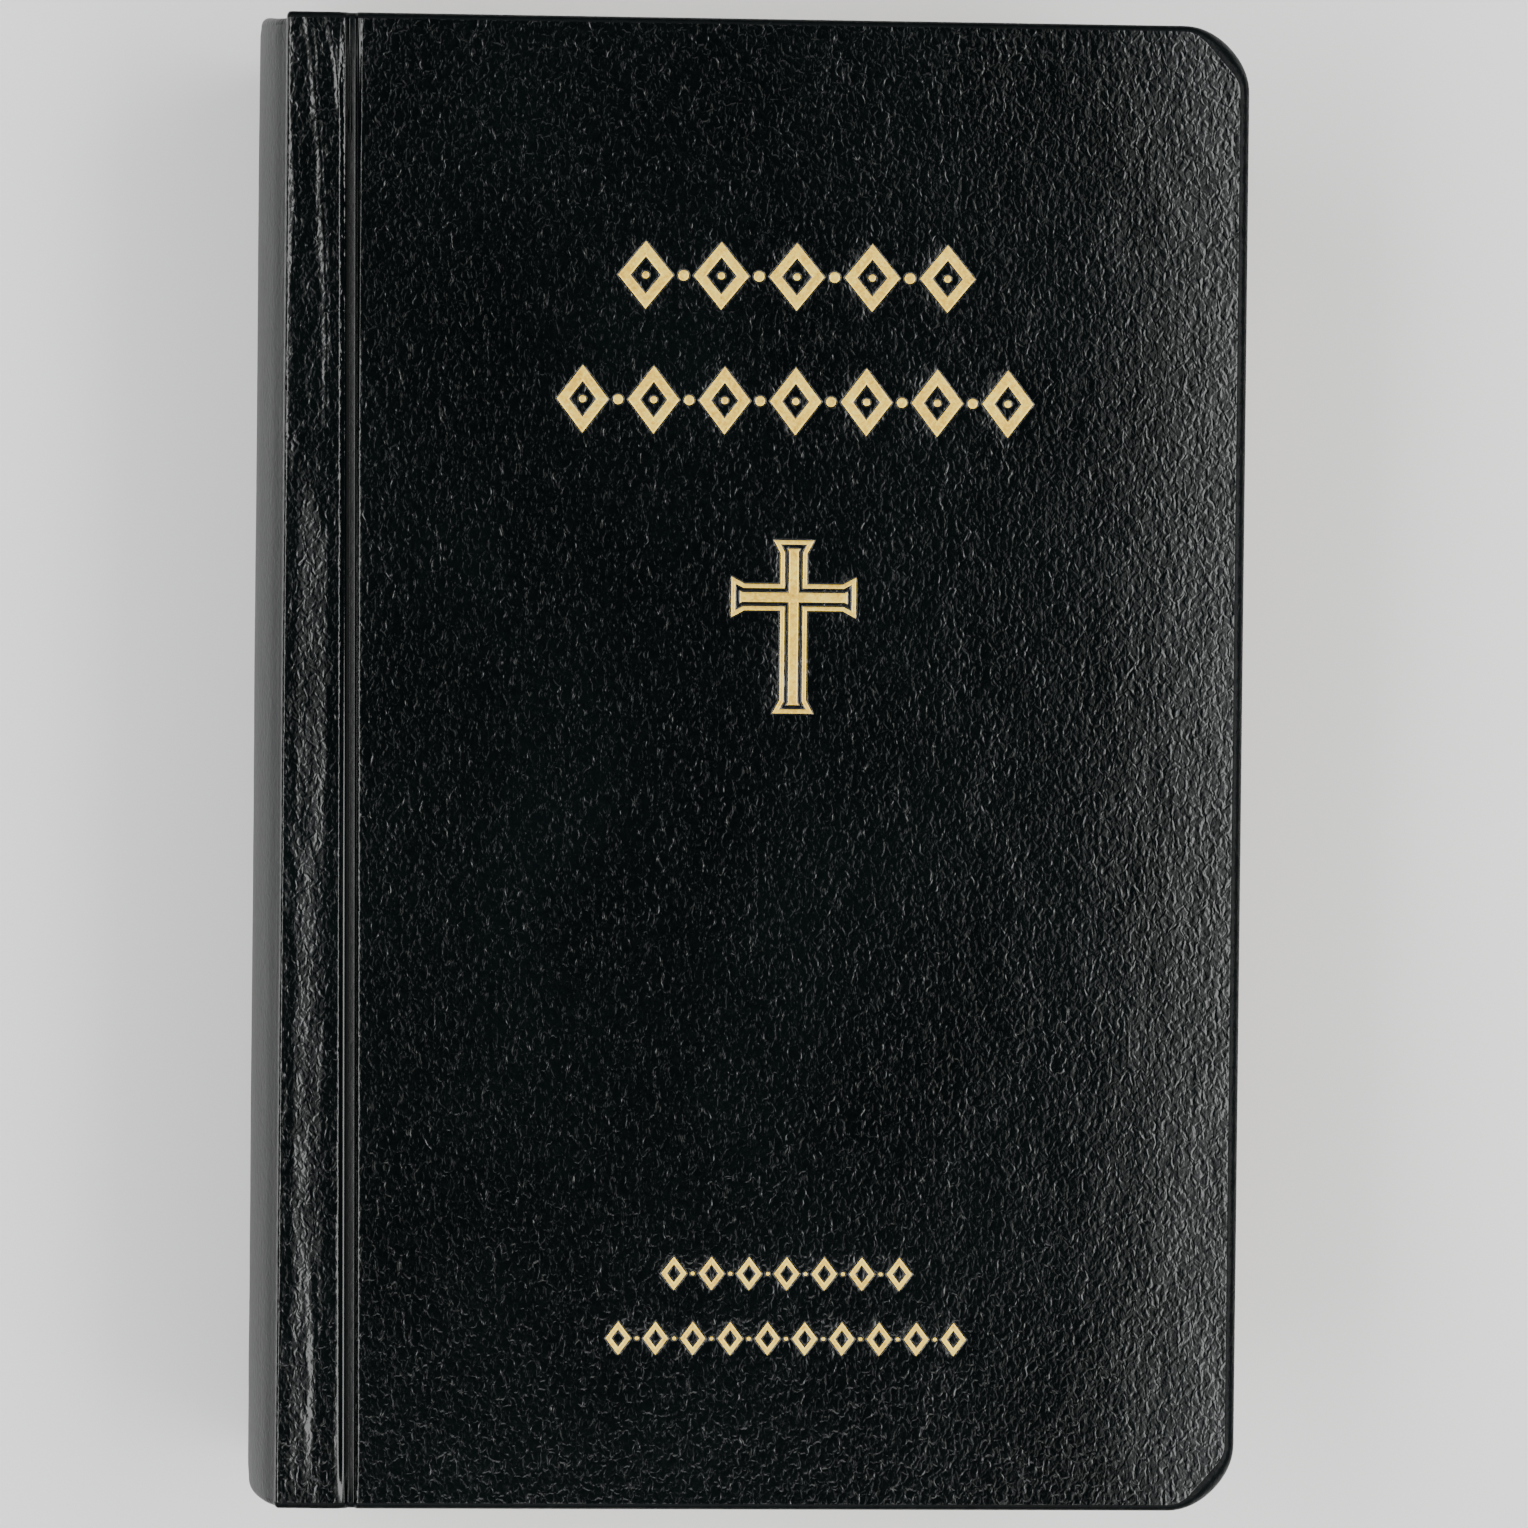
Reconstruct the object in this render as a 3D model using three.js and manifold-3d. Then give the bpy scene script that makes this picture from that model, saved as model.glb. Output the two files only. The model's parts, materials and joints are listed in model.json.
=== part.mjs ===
// A thick pocket prayer book in a case binding, lying closed on its back cover.
// Millimetres. +Z is up, +Y points to the head of the book, and the spine is towards -X.
// The origin is at the middle of the book's box, on the surface that it lies on.
import * as THREE from 'three';
import { mergeVertices } from 'three/addons/utils/BufferGeometryUtils.js';
import Module from 'manifold-3d';

// ---------------------------------------------------------------- driving dimensions
const COVER_WIDTH = 108;        // from the shoulder at the spine to the fore-edge
const COVER_HEIGHT = 167;
const SPINE_BULGE = 3.8;        // how far the rounded spine stands out past the shoulder
const CASE_THICKNESS = 37.9;    // from the back cover's outside to the front cover's outside
const FOIL_THICKNESS = 0.1;

const LEATHER = 0.5;            // covering on the boards
const BOARD = 2.0;
const TURN_IN = 0.35;           // thickness of the covering where it is turned in over a board
const TURN_IN_WIDTH = 12;
const PASTEDOWN = 0.25;
const FIT_GAP = 0.05;           // between a board and the covering around it
const WINDOW_CORNER = 1;        // corners of the window that the turn-ins leave
const COVER_CORNER = 7.5;       // radius of the covers' fore-edge corners

const SQUARE = 3;               // how far the covers stand out past the book block
const BLOCK_CORNER = 6;         // radius of the leaves' fore-edge corners
const LEAF = 0.2;               // a free leaf
const LEAF_PITCH = 0.25;        // from one free leaf to the next
const FREE_FRONT_LEAVES = 4;    // the flyleaf and three leaves
const LEAF_HINGE_OFFSET = 6.2;  // from the joint strip to where the first free leaf bends up
const LEAF_HINGE_STEP = 0.6;    // each leaf below it bends a little nearer to the fore-edge
const BOUND_MARGIN_GAP = 0.3;   // between the outer sections' bound margin and the free leaves
const SECTIONS = 16;
const SECTION_GAP = 0.02;
const FOLD_DEPTH = 0.5;         // how far a section's folded back is rounded off
const SHOULDER_HEIGHT = 2.3;    // how far the backing bends the outer sections over at the joint
const SHOULDER_INSET = 1.6;     // from the shoulder of the case to the bent folds
const SHOULDER_WIDTH = 3.6;     // from the shoulder of the case to the far side of their ridge
const STRIP_CLEARANCE = 0.15;   // from the bent folds' foot to the groove

const STRIP_WIDTH = 5.5;        // joint strip between the shoulder and the groove
const GROOVE_WIDTH = 3.15;
const GROOVE_DEPTH = 1.7;
const GROOVE_SLOPE = 0.9;       // width of the groove's sloping side
const JOINT_GAP = 0.3;          // between the two halves of the front groove
const JOINT_OVERLAP = 0.2;      // how far a joint's leather runs into the wall of its cover
const SPINE_LEATHER = 0.6;
const SHOULDER_ROUND = 0.7;     // how far past the shoulder the front strip becomes flat
const SPINE_END = 0.9;          // height above the surface at which the spine's round starts
const STIFFENER = 0.8;
const STIFFENER_MARGIN = 2.6;   // height at which the stiffener starts
const LINING = 0.3;
const MULL = 0.3;
const MULL_INSET = 6;           // how far the mull stops short of the head and tail
const THREAD = 0.2;
const LAYER_GAP = 0.05;         // between one layer of the spine and the next
const HOLLOW = 0.8;             // between the stiffener and the lining, so that the spine can flex
const LAYER_MARGIN = 4.7;       // height at which the sewing stops; the layers over it run on a little

const SEWING_STATIONS = 5;
const SEWING_PITCH = 32;
const STITCH_WIDTH = 1;
const BAND_LENGTH = 1.8;        // headband and tailband, along the spine
const BAND_THICKNESS = 1.6;

// ---------------------------------------------------------------- worked-out places
const halfHeight = COVER_HEIGHT / 2;
const foreEdgeX = (COVER_WIDTH + SPINE_BULGE) / 2;
const spineX = -foreEdgeX;
const shoulderX = spineX + SPINE_BULGE;
const stripEndX = shoulderX + STRIP_WIDTH;
const boardX = stripEndX + GROOVE_WIDTH;
const frontJointX = stripEndX + GROOVE_WIDTH / 2;

const backInnerZ = LEATHER + 2 * FIT_GAP + BOARD + TURN_IN + PASTEDOWN;
const frontInnerZ = CASE_THICKNESS - backInnerZ;
const middleZ = CASE_THICKNESS / 2;

// The spine is an arc in the XZ plane. Its layers are concentric.
const spineChord = CASE_THICKNESS - 2 * SPINE_END;
const spineRadius = (spineChord ** 2 / 4 + SPINE_BULGE ** 2) / (2 * SPINE_BULGE);
const spineCentreX = spineX + spineRadius;
const stiffenerRadius = spineRadius - SPINE_LEATHER - 2 * LAYER_GAP;
const liningRadius = stiffenerRadius - STIFFENER - HOLLOW;
const mullRadius = liningRadius - LINING - LAYER_GAP;
const threadRadius = mullRadius - MULL - LAYER_GAP;
const foldRadius = threadRadius - THREAD - LAYER_GAP;

const blockHalfHeight = halfHeight - SQUARE;
const blockBottomZ = backInnerZ + LEAF_PITCH + FIT_GAP;
const blockTopZ = frontInnerZ - FREE_FRONT_LEAVES * LEAF_PITCH - FIT_GAP;
const sectionPitch = (blockTopZ - blockBottomZ) / SECTIONS;
const leafForeEdgeX = foreEdgeX - SQUARE;
const leafWidth = leafForeEdgeX - foldX(blockTopZ);
const leafHingeX = stripEndX + LEAF_HINGE_OFFSET;

const wasm = await Module();
wasm.setup();

// ---------------------------------------------------------------- materials
const finish = (color, roughness, metalness = 0) =>
    new THREE.MeshStandardMaterial({ color, roughness, metalness });
const leatherette = finish(0x0b1416, 0.42);
const card = finish(0x8d8779, 0.9);
const endpaper = finish(0xefe9da, 0.85);
const textPaper = finish(0xf3eedf, 0.9);
const foil = finish(0xd9b676, 0.3, 1);
const cloth = finish(0xe6e2d6, 0.95);
const liningPaper = finish(0xb99f78, 0.9);
const bandCloth = finish(0xe9dfc2, 0.8);
const thread = finish(0xf4f1e6, 0.8);

// ---------------------------------------------------------------- shape helpers
/** X of the folded backs of the leaves at height z: they follow the round of the spine. */
function foldX(z) {
    return spineCentreX - Math.sqrt(foldRadius ** 2 - (z - middleZ) ** 2);
}

/** X of the leaves' fore-edge at height z: a hollow that mirrors the round of the back. */
function leafEndX(z) {
    return foldX(z) + leafWidth;
}

/** A rectangle seen from above, with both corners at the fore-edge rounded. */
function roundedPlan(x0, x1, halfY, radius) {
    const plan = new THREE.Shape();
    plan.moveTo(x0, -halfY);
    plan.lineTo(x1 - radius, -halfY);
    plan.absarc(x1 - radius, -halfY + radius, radius, -Math.PI / 2, 0, false);
    plan.absarc(x1 - radius, halfY - radius, radius, 0, Math.PI / 2, false);
    plan.lineTo(x0, halfY);
    plan.closePath();
    return plan;
}

/** A flat plate of that plan between two heights. */
function plate(plan, z0, z1, curveSegments = 5) {
    const geometry = new THREE.ExtrudeGeometry(plan, { depth: z1 - z0, bevelEnabled: false, curveSegments });
    return geometry.translate(0, 0, z0);
}

/** A bar along Y whose section is drawn in the XZ plane. */
function bar(section, y0, y1, curveSegments = 8) {
    const options = { depth: y1 - y0, bevelEnabled: false, curveSegments };
    const geometry = new THREE.ExtrudeGeometry(section, options);
    return geometry.rotateX(Math.PI / 2).translate(0, y1, 0);
}

/** A shape through a list of [x, y] points. */
function outline(points) {
    return new THREE.Shape(points.map(([x, y]) => new THREE.Vector2(x, y)));
}

/** Points of an arc of the spine between two heights, from the lower to the upper. */
function spineArc(radius, z0, z1, steps) {
    const points = [];
    for (let i = 0; i <= steps; i++) {
        const a = Math.asin((z0 - middleZ) / radius);
        const b = Math.asin((z1 - middleZ) / radius);
        const angle = a + (b - a) * i / steps;
        points.push([spineCentreX - radius * Math.cos(angle), middleZ + radius * Math.sin(angle)]);
    }
    return points;
}

/** One curved layer of the spine. */
function spineLayer(outerRadius, thickness, z0, z1, y0, y1, steps = 10) {
    const outer = spineArc(outerRadius, z0, z1, steps);
    const inner = spineArc(outerRadius - thickness, z0, z1, steps);
    return bar(outline([...outer, ...inner.reverse()]), y0, y1);
}

/** A geometry as a solid that can be cut and joined. */
function solid(geometry) {
    const bare = geometry.clone();
    bare.deleteAttribute('normal');
    bare.deleteAttribute('uv');
    const merged = mergeVertices(bare, 1e-4);
    return new wasm.Manifold(new wasm.Mesh({
        numProp: 3,
        vertProperties: new Float32Array(merged.attributes.position.array),
        triVerts: new Uint32Array(merged.index.array),
    }));
}

/** A solid as a geometry again. */
function toGeometry(manifold) {
    const mesh = manifold.getMesh();
    const geometry = new THREE.BufferGeometry();
    geometry.setAttribute('position', new THREE.BufferAttribute(new Float32Array(mesh.vertProperties), 3));
    geometry.setIndex(new THREE.BufferAttribute(new Uint32Array(mesh.triVerts), 1));
    geometry.computeVertexNormals();
    return geometry;
}

/** The same geometry turned upside down about the case's middle height. */
function flipped(geometry) {
    return geometry.clone().rotateX(Math.PI).translate(0, 0, CASE_THICKNESS);
}

function piece(name, geometry, material) {
    const mesh = new THREE.Mesh(geometry, material);
    mesh.name = name;
    return mesh;
}

// ---------------------------------------------------------------- one cover, modelled as the back cover
/** The stiff board inside a cover. */
function boardGeometry() {
    const inset = LEATHER + FIT_GAP;
    const plan = roundedPlan(boardX, foreEdgeX - inset, halfHeight - inset, COVER_CORNER - inset);
    return plate(plan, LEATHER + FIT_GAP, LEATHER + FIT_GAP + BOARD);
}

/** The covering of one board: outer skin, edges and turn-ins, running into the joint towards the spine. */
function coveringGeometry(jointEndX) {
    const turnInTopZ = backInnerZ - PASTEDOWN;
    const pocketTopZ = turnInTopZ - TURN_IN;
    const wallX = boardX - LEATHER - FIT_GAP;
    const wrap = solid(plate(roundedPlan(wallX, foreEdgeX, halfHeight, COVER_CORNER), 0, turnInTopZ));
    const pocketPlan = roundedPlan(
        boardX - FIT_GAP, foreEdgeX - LEATHER, halfHeight - LEATHER, COVER_CORNER - LEATHER);
    const pocket = solid(plate(pocketPlan, LEATHER, pocketTopZ));
    const windowPlan = roundedPlan(
        boardX - FIT_GAP, foreEdgeX - TURN_IN_WIDTH, halfHeight - TURN_IN_WIDTH, WINDOW_CORNER);
    const window = solid(plate(windowPlan, pocketTopZ - FIT_GAP, turnInTopZ + TURN_IN));
    return wrap.subtract(pocket).subtract(window).add(solid(jointGeometry(jointEndX)));
}

/** Section through one cover's joint, from the board's edge towards the spine, pressed in at the groove. */
function jointSection(jointEndX) {
    const rightX = boardX - LEATHER - FIT_GAP + JOINT_OVERLAP;
    if (jointEndX > stripEndX) {
        return outline([
            [jointEndX, GROOVE_DEPTH], [rightX, GROOVE_DEPTH],
            [rightX, GROOVE_DEPTH + SPINE_LEATHER], [jointEndX, GROOVE_DEPTH + SPINE_LEATHER],
        ]);
    }
    return outline([
        [jointEndX, 0], [stripEndX - GROOVE_SLOPE / 2, 0],
        [stripEndX + GROOVE_SLOPE / 2, GROOVE_DEPTH], [rightX, GROOVE_DEPTH],
        [rightX, GROOVE_DEPTH + SPINE_LEATHER], [stripEndX, GROOVE_DEPTH + SPINE_LEATHER],
        [stripEndX - GROOVE_SLOPE, SPINE_LEATHER], [jointEndX, SPINE_LEATHER],
    ]);
}

function jointGeometry(jointEndX) {
    return bar(jointSection(jointEndX), -halfHeight, halfHeight);
}

/** The paper pasted over the turn-ins, which it steps down between. */
function pastedownGeometry() {
    const turnInTopZ = backInnerZ - PASTEDOWN;
    const sheetPlan = roundedPlan(boardX, leafForeEdgeX, blockHalfHeight, BLOCK_CORNER);
    const sheet = solid(plate(sheetPlan, turnInTopZ, backInnerZ));
    const centreInset = TURN_IN_WIDTH + 2 * FIT_GAP;
    const centrePlan = roundedPlan(
        boardX + FIT_GAP, foreEdgeX - centreInset, halfHeight - centreInset, WINDOW_CORNER);
    const centre = solid(plate(centrePlan, turnInTopZ - TURN_IN, turnInTopZ + FIT_GAP));
    return toGeometry(sheet.add(centre));
}

function backCover() {
    return [
        piece('back_board', boardGeometry(), card),
        piece('back_covering', toGeometry(coveringGeometry(shoulderX)), leatherette),
        piece('back_pastedown', pastedownGeometry(), endpaper),
    ];
}

function frontCover() {
    const covering = toGeometry(coveringGeometry(frontJointX + JOINT_GAP));
    return [
        piece('front_board', flipped(boardGeometry()), card),
        piece('front_covering', flipped(covering), leatherette),
        piece('front_pastedown', flipped(pastedownGeometry()), endpaper),
    ];
}

// ---------------------------------------------------------------- foil on the front cover
const FOIL_OFFSET = 3.25;       // from the middle of the cover to the ornament, towards the fore-edge
const FOIL_WAIST = 0.4;         // half height of the foil between two lozenges
const CROSS_STEM = 1.5;         // half widths of the cross: along its arms and at their ends
const CROSS_FLARE = 2.3;
const CROSS_ARM_HEIGHT = 0.17;  // height of its arms over its middle, as a share of its height
const foilCentreX = (shoulderX + foreEdgeX) / 2 + FOIL_OFFSET;

// Each row: name, width, height, number of lozenges, and its middle's distance from the cover's middle.
const FOIL_ROWS = [
    ['foil_title_upper', 40, 7.6, 5, 54.7],
    ['foil_title_lower', 53.4, 7.6, 7, 40.8],
    ['foil_foot_upper', 28.2, 3.8, 7, -56.9],
    ['foil_foot_lower', 40.5, 3.8, 10, -64.2],
];
const CROSS_HEIGHT = 19.4;
const CROSS_WIDTH = 14;
const CROSS_Y = 15.6;

/** A row of lozenges joined at their tips, centred on the foil's centre line. */
function lozengeRow(width, height, count, y) {
    const pitch = width / count;
    const upper = [];
    for (let i = 0; i < count; i++) {
        const x = foilCentreX - width / 2 + i * pitch;
        upper.push([x, FOIL_WAIST], [x + pitch / 2, height / 2]);
    }
    upper.push([foilCentreX + width / 2, FOIL_WAIST]);
    const lower = upper.map(([x, h]) => [x, -h]).reverse();
    const points = [...upper, ...lower].map(([x, h]) => [x, y + h]);
    return plate(outline(points.reverse()), CASE_THICKNESS, CASE_THICKNESS + FOIL_THICKNESS);
}

/** A plain Latin cross with slightly widened ends. */
function crossGeometry(height, width, y) {
    const stem = CROSS_STEM;
    const flare = CROSS_FLARE;
    const armY = height * CROSS_ARM_HEIGHT;
    const arm = [[stem, armY + stem], [stem, height / 2 - stem], [flare, height / 2]];
    const right = [
        [flare, -height / 2], [stem, -height / 2 + stem], [stem, armY - stem],
        [width / 2 - stem, armY - stem],
        [width / 2, armY - flare], [width / 2, armY + flare], [width / 2 - stem, armY + stem], ...arm,
    ];
    const left = right.map(([x, h]) => [-x, h]).reverse();
    const points = [...right, ...left].map(([x, h]) => [foilCentreX + x, y + h]);
    return plate(outline(points), CASE_THICKNESS, CASE_THICKNESS + FOIL_THICKNESS);
}

function foilPieces() {
    const rows = FOIL_ROWS.map(([name, ...sizes]) => piece(name, lozengeRow(...sizes), foil));
    return [...rows, piece('foil_cross', crossGeometry(CROSS_HEIGHT, CROSS_WIDTH, CROSS_Y), foil)];
}

// ---------------------------------------------------------------- spine
/** The leatherette over the spine, with the front joint strip and half of the front groove. */
function spineCoveringGeometry() {
    const top = CASE_THICKNESS;
    const outer = [
        ...spineArc(spineRadius, SPINE_END, top - SPINE_END, 14),
        [shoulderX + SHOULDER_ROUND, top], [stripEndX - GROOVE_SLOPE / 2, top],
        [stripEndX + GROOVE_SLOPE / 2, top - GROOVE_DEPTH], [frontJointX, top - GROOVE_DEPTH],
    ];
    const inner = [
        [frontJointX, top - GROOVE_DEPTH - SPINE_LEATHER], [stripEndX, top - GROOVE_DEPTH - SPINE_LEATHER],
        [stripEndX - GROOVE_SLOPE, top - SPINE_LEATHER], [shoulderX + SPINE_END, top - SPINE_LEATHER],
        ...spineArc(
            spineRadius - SPINE_LEATHER, SPINE_END, top - SPINE_END - SPINE_LEATHER / 3, 14,
        ).reverse(),
    ];
    return bar(outline([...outer, ...inner]), -halfHeight, halfHeight);
}

function spinePieces() {
    const layer = (name, radius, thickness, margin, halfY, material) => piece(
        name, spineLayer(radius, thickness, margin, CASE_THICKNESS - margin, -halfY, halfY), material);
    const band = (y0) => spineLayer(
        foldRadius, BAND_THICKNESS, blockBottomZ, blockTopZ, y0, y0 + BAND_LENGTH);
    const liningMargin = LAYER_MARGIN - 0.5;
    const mullMargin = LAYER_MARGIN - 0.3;
    return [
        piece('spine_covering', spineCoveringGeometry(), leatherette),
        layer('spine_stiffener', stiffenerRadius, STIFFENER, STIFFENER_MARGIN, halfHeight - 1, card),
        layer('spine_lining', liningRadius, LINING, liningMargin, blockHalfHeight, liningPaper),
        layer('spine_mull', mullRadius, MULL, mullMargin, blockHalfHeight - MULL_INSET, cloth),
        piece('headband', band(blockHalfHeight + FIT_GAP), bandCloth),
        piece('tailband', band(-blockHalfHeight - FIT_GAP - BAND_LENGTH), bandCloth),
    ];
}

/** Thread that holds the sections together, lying over their folds at each sewing station. */
function sewingThreads() {
    const threads = [];
    for (let i = 0; i < SEWING_STATIONS; i++) {
        const y = (i - (SEWING_STATIONS - 1) / 2) * SEWING_PITCH;
        const geometry = spineLayer(
            threadRadius, THREAD, LAYER_MARGIN, CASE_THICKNESS - LAYER_MARGIN,
            y - STITCH_WIDTH / 2, y + STITCH_WIDTH / 2, 8);
        threads.push(piece(`sewing_thread_${i + 1}`, geometry, thread));
    }
    return threads;
}

// ---------------------------------------------------------------- book block
/**
 * The section of one sewn gathering between two heights. The outermost ones carry the shoulder, which the
 * backing bends outwards, and the bound margin of the free leaves.
 */
function sectionPoints(z0, z1, isFirst, isLast) {
    const middle = (z0 + z1) / 2;
    const lower = [[foldX(z0) + FOLD_DEPTH, z0], [leafEndX(z0), z0]];
    const upper = [[leafEndX(z1), z1], [foldX(z1) + FOLD_DEPTH, z1]];
    const shoulder = (marginEndX, faceZ, planeZ, tipZ) => [
        [shoulderX + SHOULDER_INSET, tipZ], [shoulderX + SHOULDER_WIDTH, tipZ],
        [stripEndX - STRIP_CLEARANCE, planeZ], [marginEndX, planeZ], [marginEndX, faceZ],
    ];
    if (isFirst) {
        const planeZ = backInnerZ + FIT_GAP;
        lower.splice(0, 1, ...shoulder(leafHingeX - BOUND_MARGIN_GAP, z0, planeZ, planeZ - SHOULDER_HEIGHT));
    }
    if (isLast) {
        const planeZ = frontInnerZ - FIT_GAP;
        const neckZ = CASE_THICKNESS - LAYER_MARGIN;
        const bent = shoulder(leafHingeX - BOUND_MARGIN_GAP, z1, planeZ, planeZ + SHOULDER_HEIGHT).reverse();
        upper.splice(1, 1, ...bent, [foldX(neckZ), neckZ]);
    }
    return [...lower, ...upper, [foldX(middle), middle]];
}

function sections() {
    const trim = solid(plate(
        roundedPlan(spineX, foreEdgeX, blockHalfHeight, BLOCK_CORNER + SQUARE), 0, CASE_THICKNESS, 4));
    const list = [];
    for (let i = 0; i < SECTIONS; i++) {
        const z0 = blockBottomZ + i * sectionPitch;
        const points = sectionPoints(z0, z0 + sectionPitch - SECTION_GAP, i === 0, i === SECTIONS - 1);
        const gathering = solid(bar(outline(points), -blockHalfHeight, blockHalfHeight));
        const name = `section_${String(i + 1).padStart(2, '0')}`;
        list.push(piece(name, toGeometry(gathering.intersect(trim)), textPaper));
    }
    return list;
}

/** A free leaf that turns about its bend at x0. */
function leafGeometry(x0, z0) {
    return plate(roundedPlan(x0, leafForeEdgeX, blockHalfHeight, BLOCK_CORNER), z0, z0 + LEAF, 4);
}

function freeLeaves() {
    const names = ['front_flyleaf', 'front_leaf_1', 'front_leaf_2', 'front_leaf_3'];
    const leaves = names.map((name, i) => piece(
        name,
        leafGeometry(leafHingeX + i * LEAF_HINGE_STEP, frontInnerZ - FIT_GAP - LEAF - i * LEAF_PITCH),
        i === 0 ? endpaper : textPaper));
    return [...leaves, piece('back_flyleaf', leafGeometry(leafHingeX, backInnerZ + FIT_GAP), endpaper)];
}

// ---------------------------------------------------------------- the book
const book = new THREE.Group();
book.add(...backCover(), ...frontCover(), ...foilPieces());
book.add(...spinePieces(), ...sewingThreads(), ...sections(), ...freeLeaves());

export default book;
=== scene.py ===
"""Looks for a thick pocket prayer book in a case binding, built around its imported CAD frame."""
import json
import math

import bpy
import numpy as np
from mathutils import Euler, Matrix, Vector, geometry, noise


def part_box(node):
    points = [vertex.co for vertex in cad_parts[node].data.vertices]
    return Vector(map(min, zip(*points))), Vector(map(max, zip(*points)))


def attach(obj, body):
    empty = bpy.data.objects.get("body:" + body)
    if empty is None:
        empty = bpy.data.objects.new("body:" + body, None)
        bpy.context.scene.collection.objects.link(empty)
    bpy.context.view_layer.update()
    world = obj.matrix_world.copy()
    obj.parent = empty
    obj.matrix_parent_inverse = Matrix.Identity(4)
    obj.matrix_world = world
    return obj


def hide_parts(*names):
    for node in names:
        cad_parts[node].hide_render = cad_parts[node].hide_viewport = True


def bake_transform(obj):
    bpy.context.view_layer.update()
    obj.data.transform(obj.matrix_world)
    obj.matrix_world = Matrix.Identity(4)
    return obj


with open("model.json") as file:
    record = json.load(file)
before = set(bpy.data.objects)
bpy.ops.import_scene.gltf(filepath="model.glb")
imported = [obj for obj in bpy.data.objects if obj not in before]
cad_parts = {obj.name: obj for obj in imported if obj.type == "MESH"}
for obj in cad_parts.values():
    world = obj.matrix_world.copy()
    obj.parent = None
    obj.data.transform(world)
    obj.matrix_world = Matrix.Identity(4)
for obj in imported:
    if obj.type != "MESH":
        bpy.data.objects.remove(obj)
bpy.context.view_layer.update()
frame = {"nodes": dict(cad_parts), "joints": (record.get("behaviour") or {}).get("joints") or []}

MM = 0.001


# ---- places, in mm, from the frame
def box_mm(node):
    low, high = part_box(node)
    return np.array(low) / MM, np.array(high) / MM


def joint_mm(name):
    return next(np.array(j["pos_m"]) / MM for j in frame["joints"] if j["name"] == name)


FORE_EDGE, HALF_HEIGHT, TOP = box_mm("front_covering")[1]
SHOULDER_X = box_mm("back_covering")[0][0]
SPINE_X, _, SPINE_END = box_mm("spine_covering")[0]
FRONT_INNER = box_mm("front_pastedown")[0][2]
BACK_INNER = box_mm("back_pastedown")[1][2]
BLOCK_HALF_HEIGHT = box_mm("section_01")[1][1]
LEAF_END = box_mm("front_flyleaf")[1][0]
FRONT_BEND = joint_mm("front_cover_hinge")[0] + np.array([-1.2, 1.1])   # where the front joint bends

# The spine is an arc in the XZ plane, from SPINE_END above the surface to SPINE_END below the top.
BULGE = SHOULDER_X - SPINE_X
CHORD = TOP - 2 * SPINE_END
SPINE_RADIUS = (CHORD ** 2 / 4 + BULGE ** 2) / (2 * BULGE)
SPINE_CENTRE = np.array([SPINE_X + SPINE_RADIUS, TOP / 2])

CORNER = 7.5          # radius of the covers' fore-edge corners
ROLL = 0.75           # how far in from the head and tail edges the covering starts to roll over
FORE_ROLL = 1.2       # the same at the fore-edge
CORNER_ROLL = 1.1     # how much more it is at the corners
INNER_ROLL = 0.4      # radius where the covering turns in under the edge
GUARD = 0.15          # a row of points this far in from the roll keeps the flat's shading flat
BOARD_DEPTH = 2.95    # from the outside of a cover to the outside of its turn-in
JOINT_DEPTH = 1.05    # the same where there is only leather
GROOVE_DEPTH = 0.95   # how much more than JOINT_DEPTH it is under the groove
TURN_IN = 6.0         # width of the turned-in covering
LEATHER = 0.4         # its thickness
FOIL_DEPTH = 0.13     # how deep the foil is pressed in


# ---- small helpers
def smoothstep(low, high, x):
    t = np.clip((np.asarray(x, float) - low) / (high - low), 0, 1)
    return t * t * (3 - 2 * t)


def spline(points, step):
    """A smooth curve through the points, with an even spacing of about step."""
    points = np.array(points, float)
    padded = np.vstack([2 * points[0] - points[1], points, 2 * points[-1] - points[-2]])
    dense = []
    for p0, p1, p2, p3 in zip(padded, padded[1:], padded[2:], padded[3:]):
        for t in np.linspace(0, 1, 24, endpoint=False):
            dense.append(0.5 * (2 * p1 + (p2 - p0) * t + (2 * p0 - 5 * p1 + 4 * p2 - p3) * t ** 2
                                + (3 * p1 - p0 - 3 * p2 + p3) * t ** 3))
    dense.append(points[-1])
    return resample(np.array(dense), step)


def resample(points, step):
    length = np.concatenate([[0], np.cumsum(np.linalg.norm(np.diff(points, axis=0), axis=1))])
    count = max(1, round(length[-1] / step))
    at = np.linspace(0, length[-1], count + 1)
    return np.column_stack([np.interp(at, length, points[:, k]) for k in range(points.shape[1])])


def wave(x, y, scale, seed):
    """Smooth noise from -1 to 1 over a surface, the same each run."""
    return np.array([noise.noise(Vector((a / scale, b / scale, seed))) for a, b in zip(x, y)])


def depth_inside(x, y, right, reach, corner):
    """How far a point lies inside the head, tail and fore-edge of a sheet with rounded corners."""
    dx, dy = x - (right - corner), np.abs(y) - (reach - corner)
    plain = np.minimum(right - x, reach - np.abs(y))
    return np.where((dx > 0) & (dy > 0), corner - np.hypot(dx, dy), plain)


def loop_edges(first, count):
    return [(first + i, first + (i + 1) % count) for i in range(count)]


def triangulated(points, edges, epsilon=1e-6):
    """Triangles between the points, up to the outermost loop of edges."""
    points = [Vector(p) for p in points]
    _, _, faces, origins, _, _ = geometry.delaunay_2d_cdt(points, edges, [], 1, epsilon, True)
    if not all(origins):
        raise ValueError("outlines cross")
    return [[origins[i][0] for i in face] for face in faces]


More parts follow.
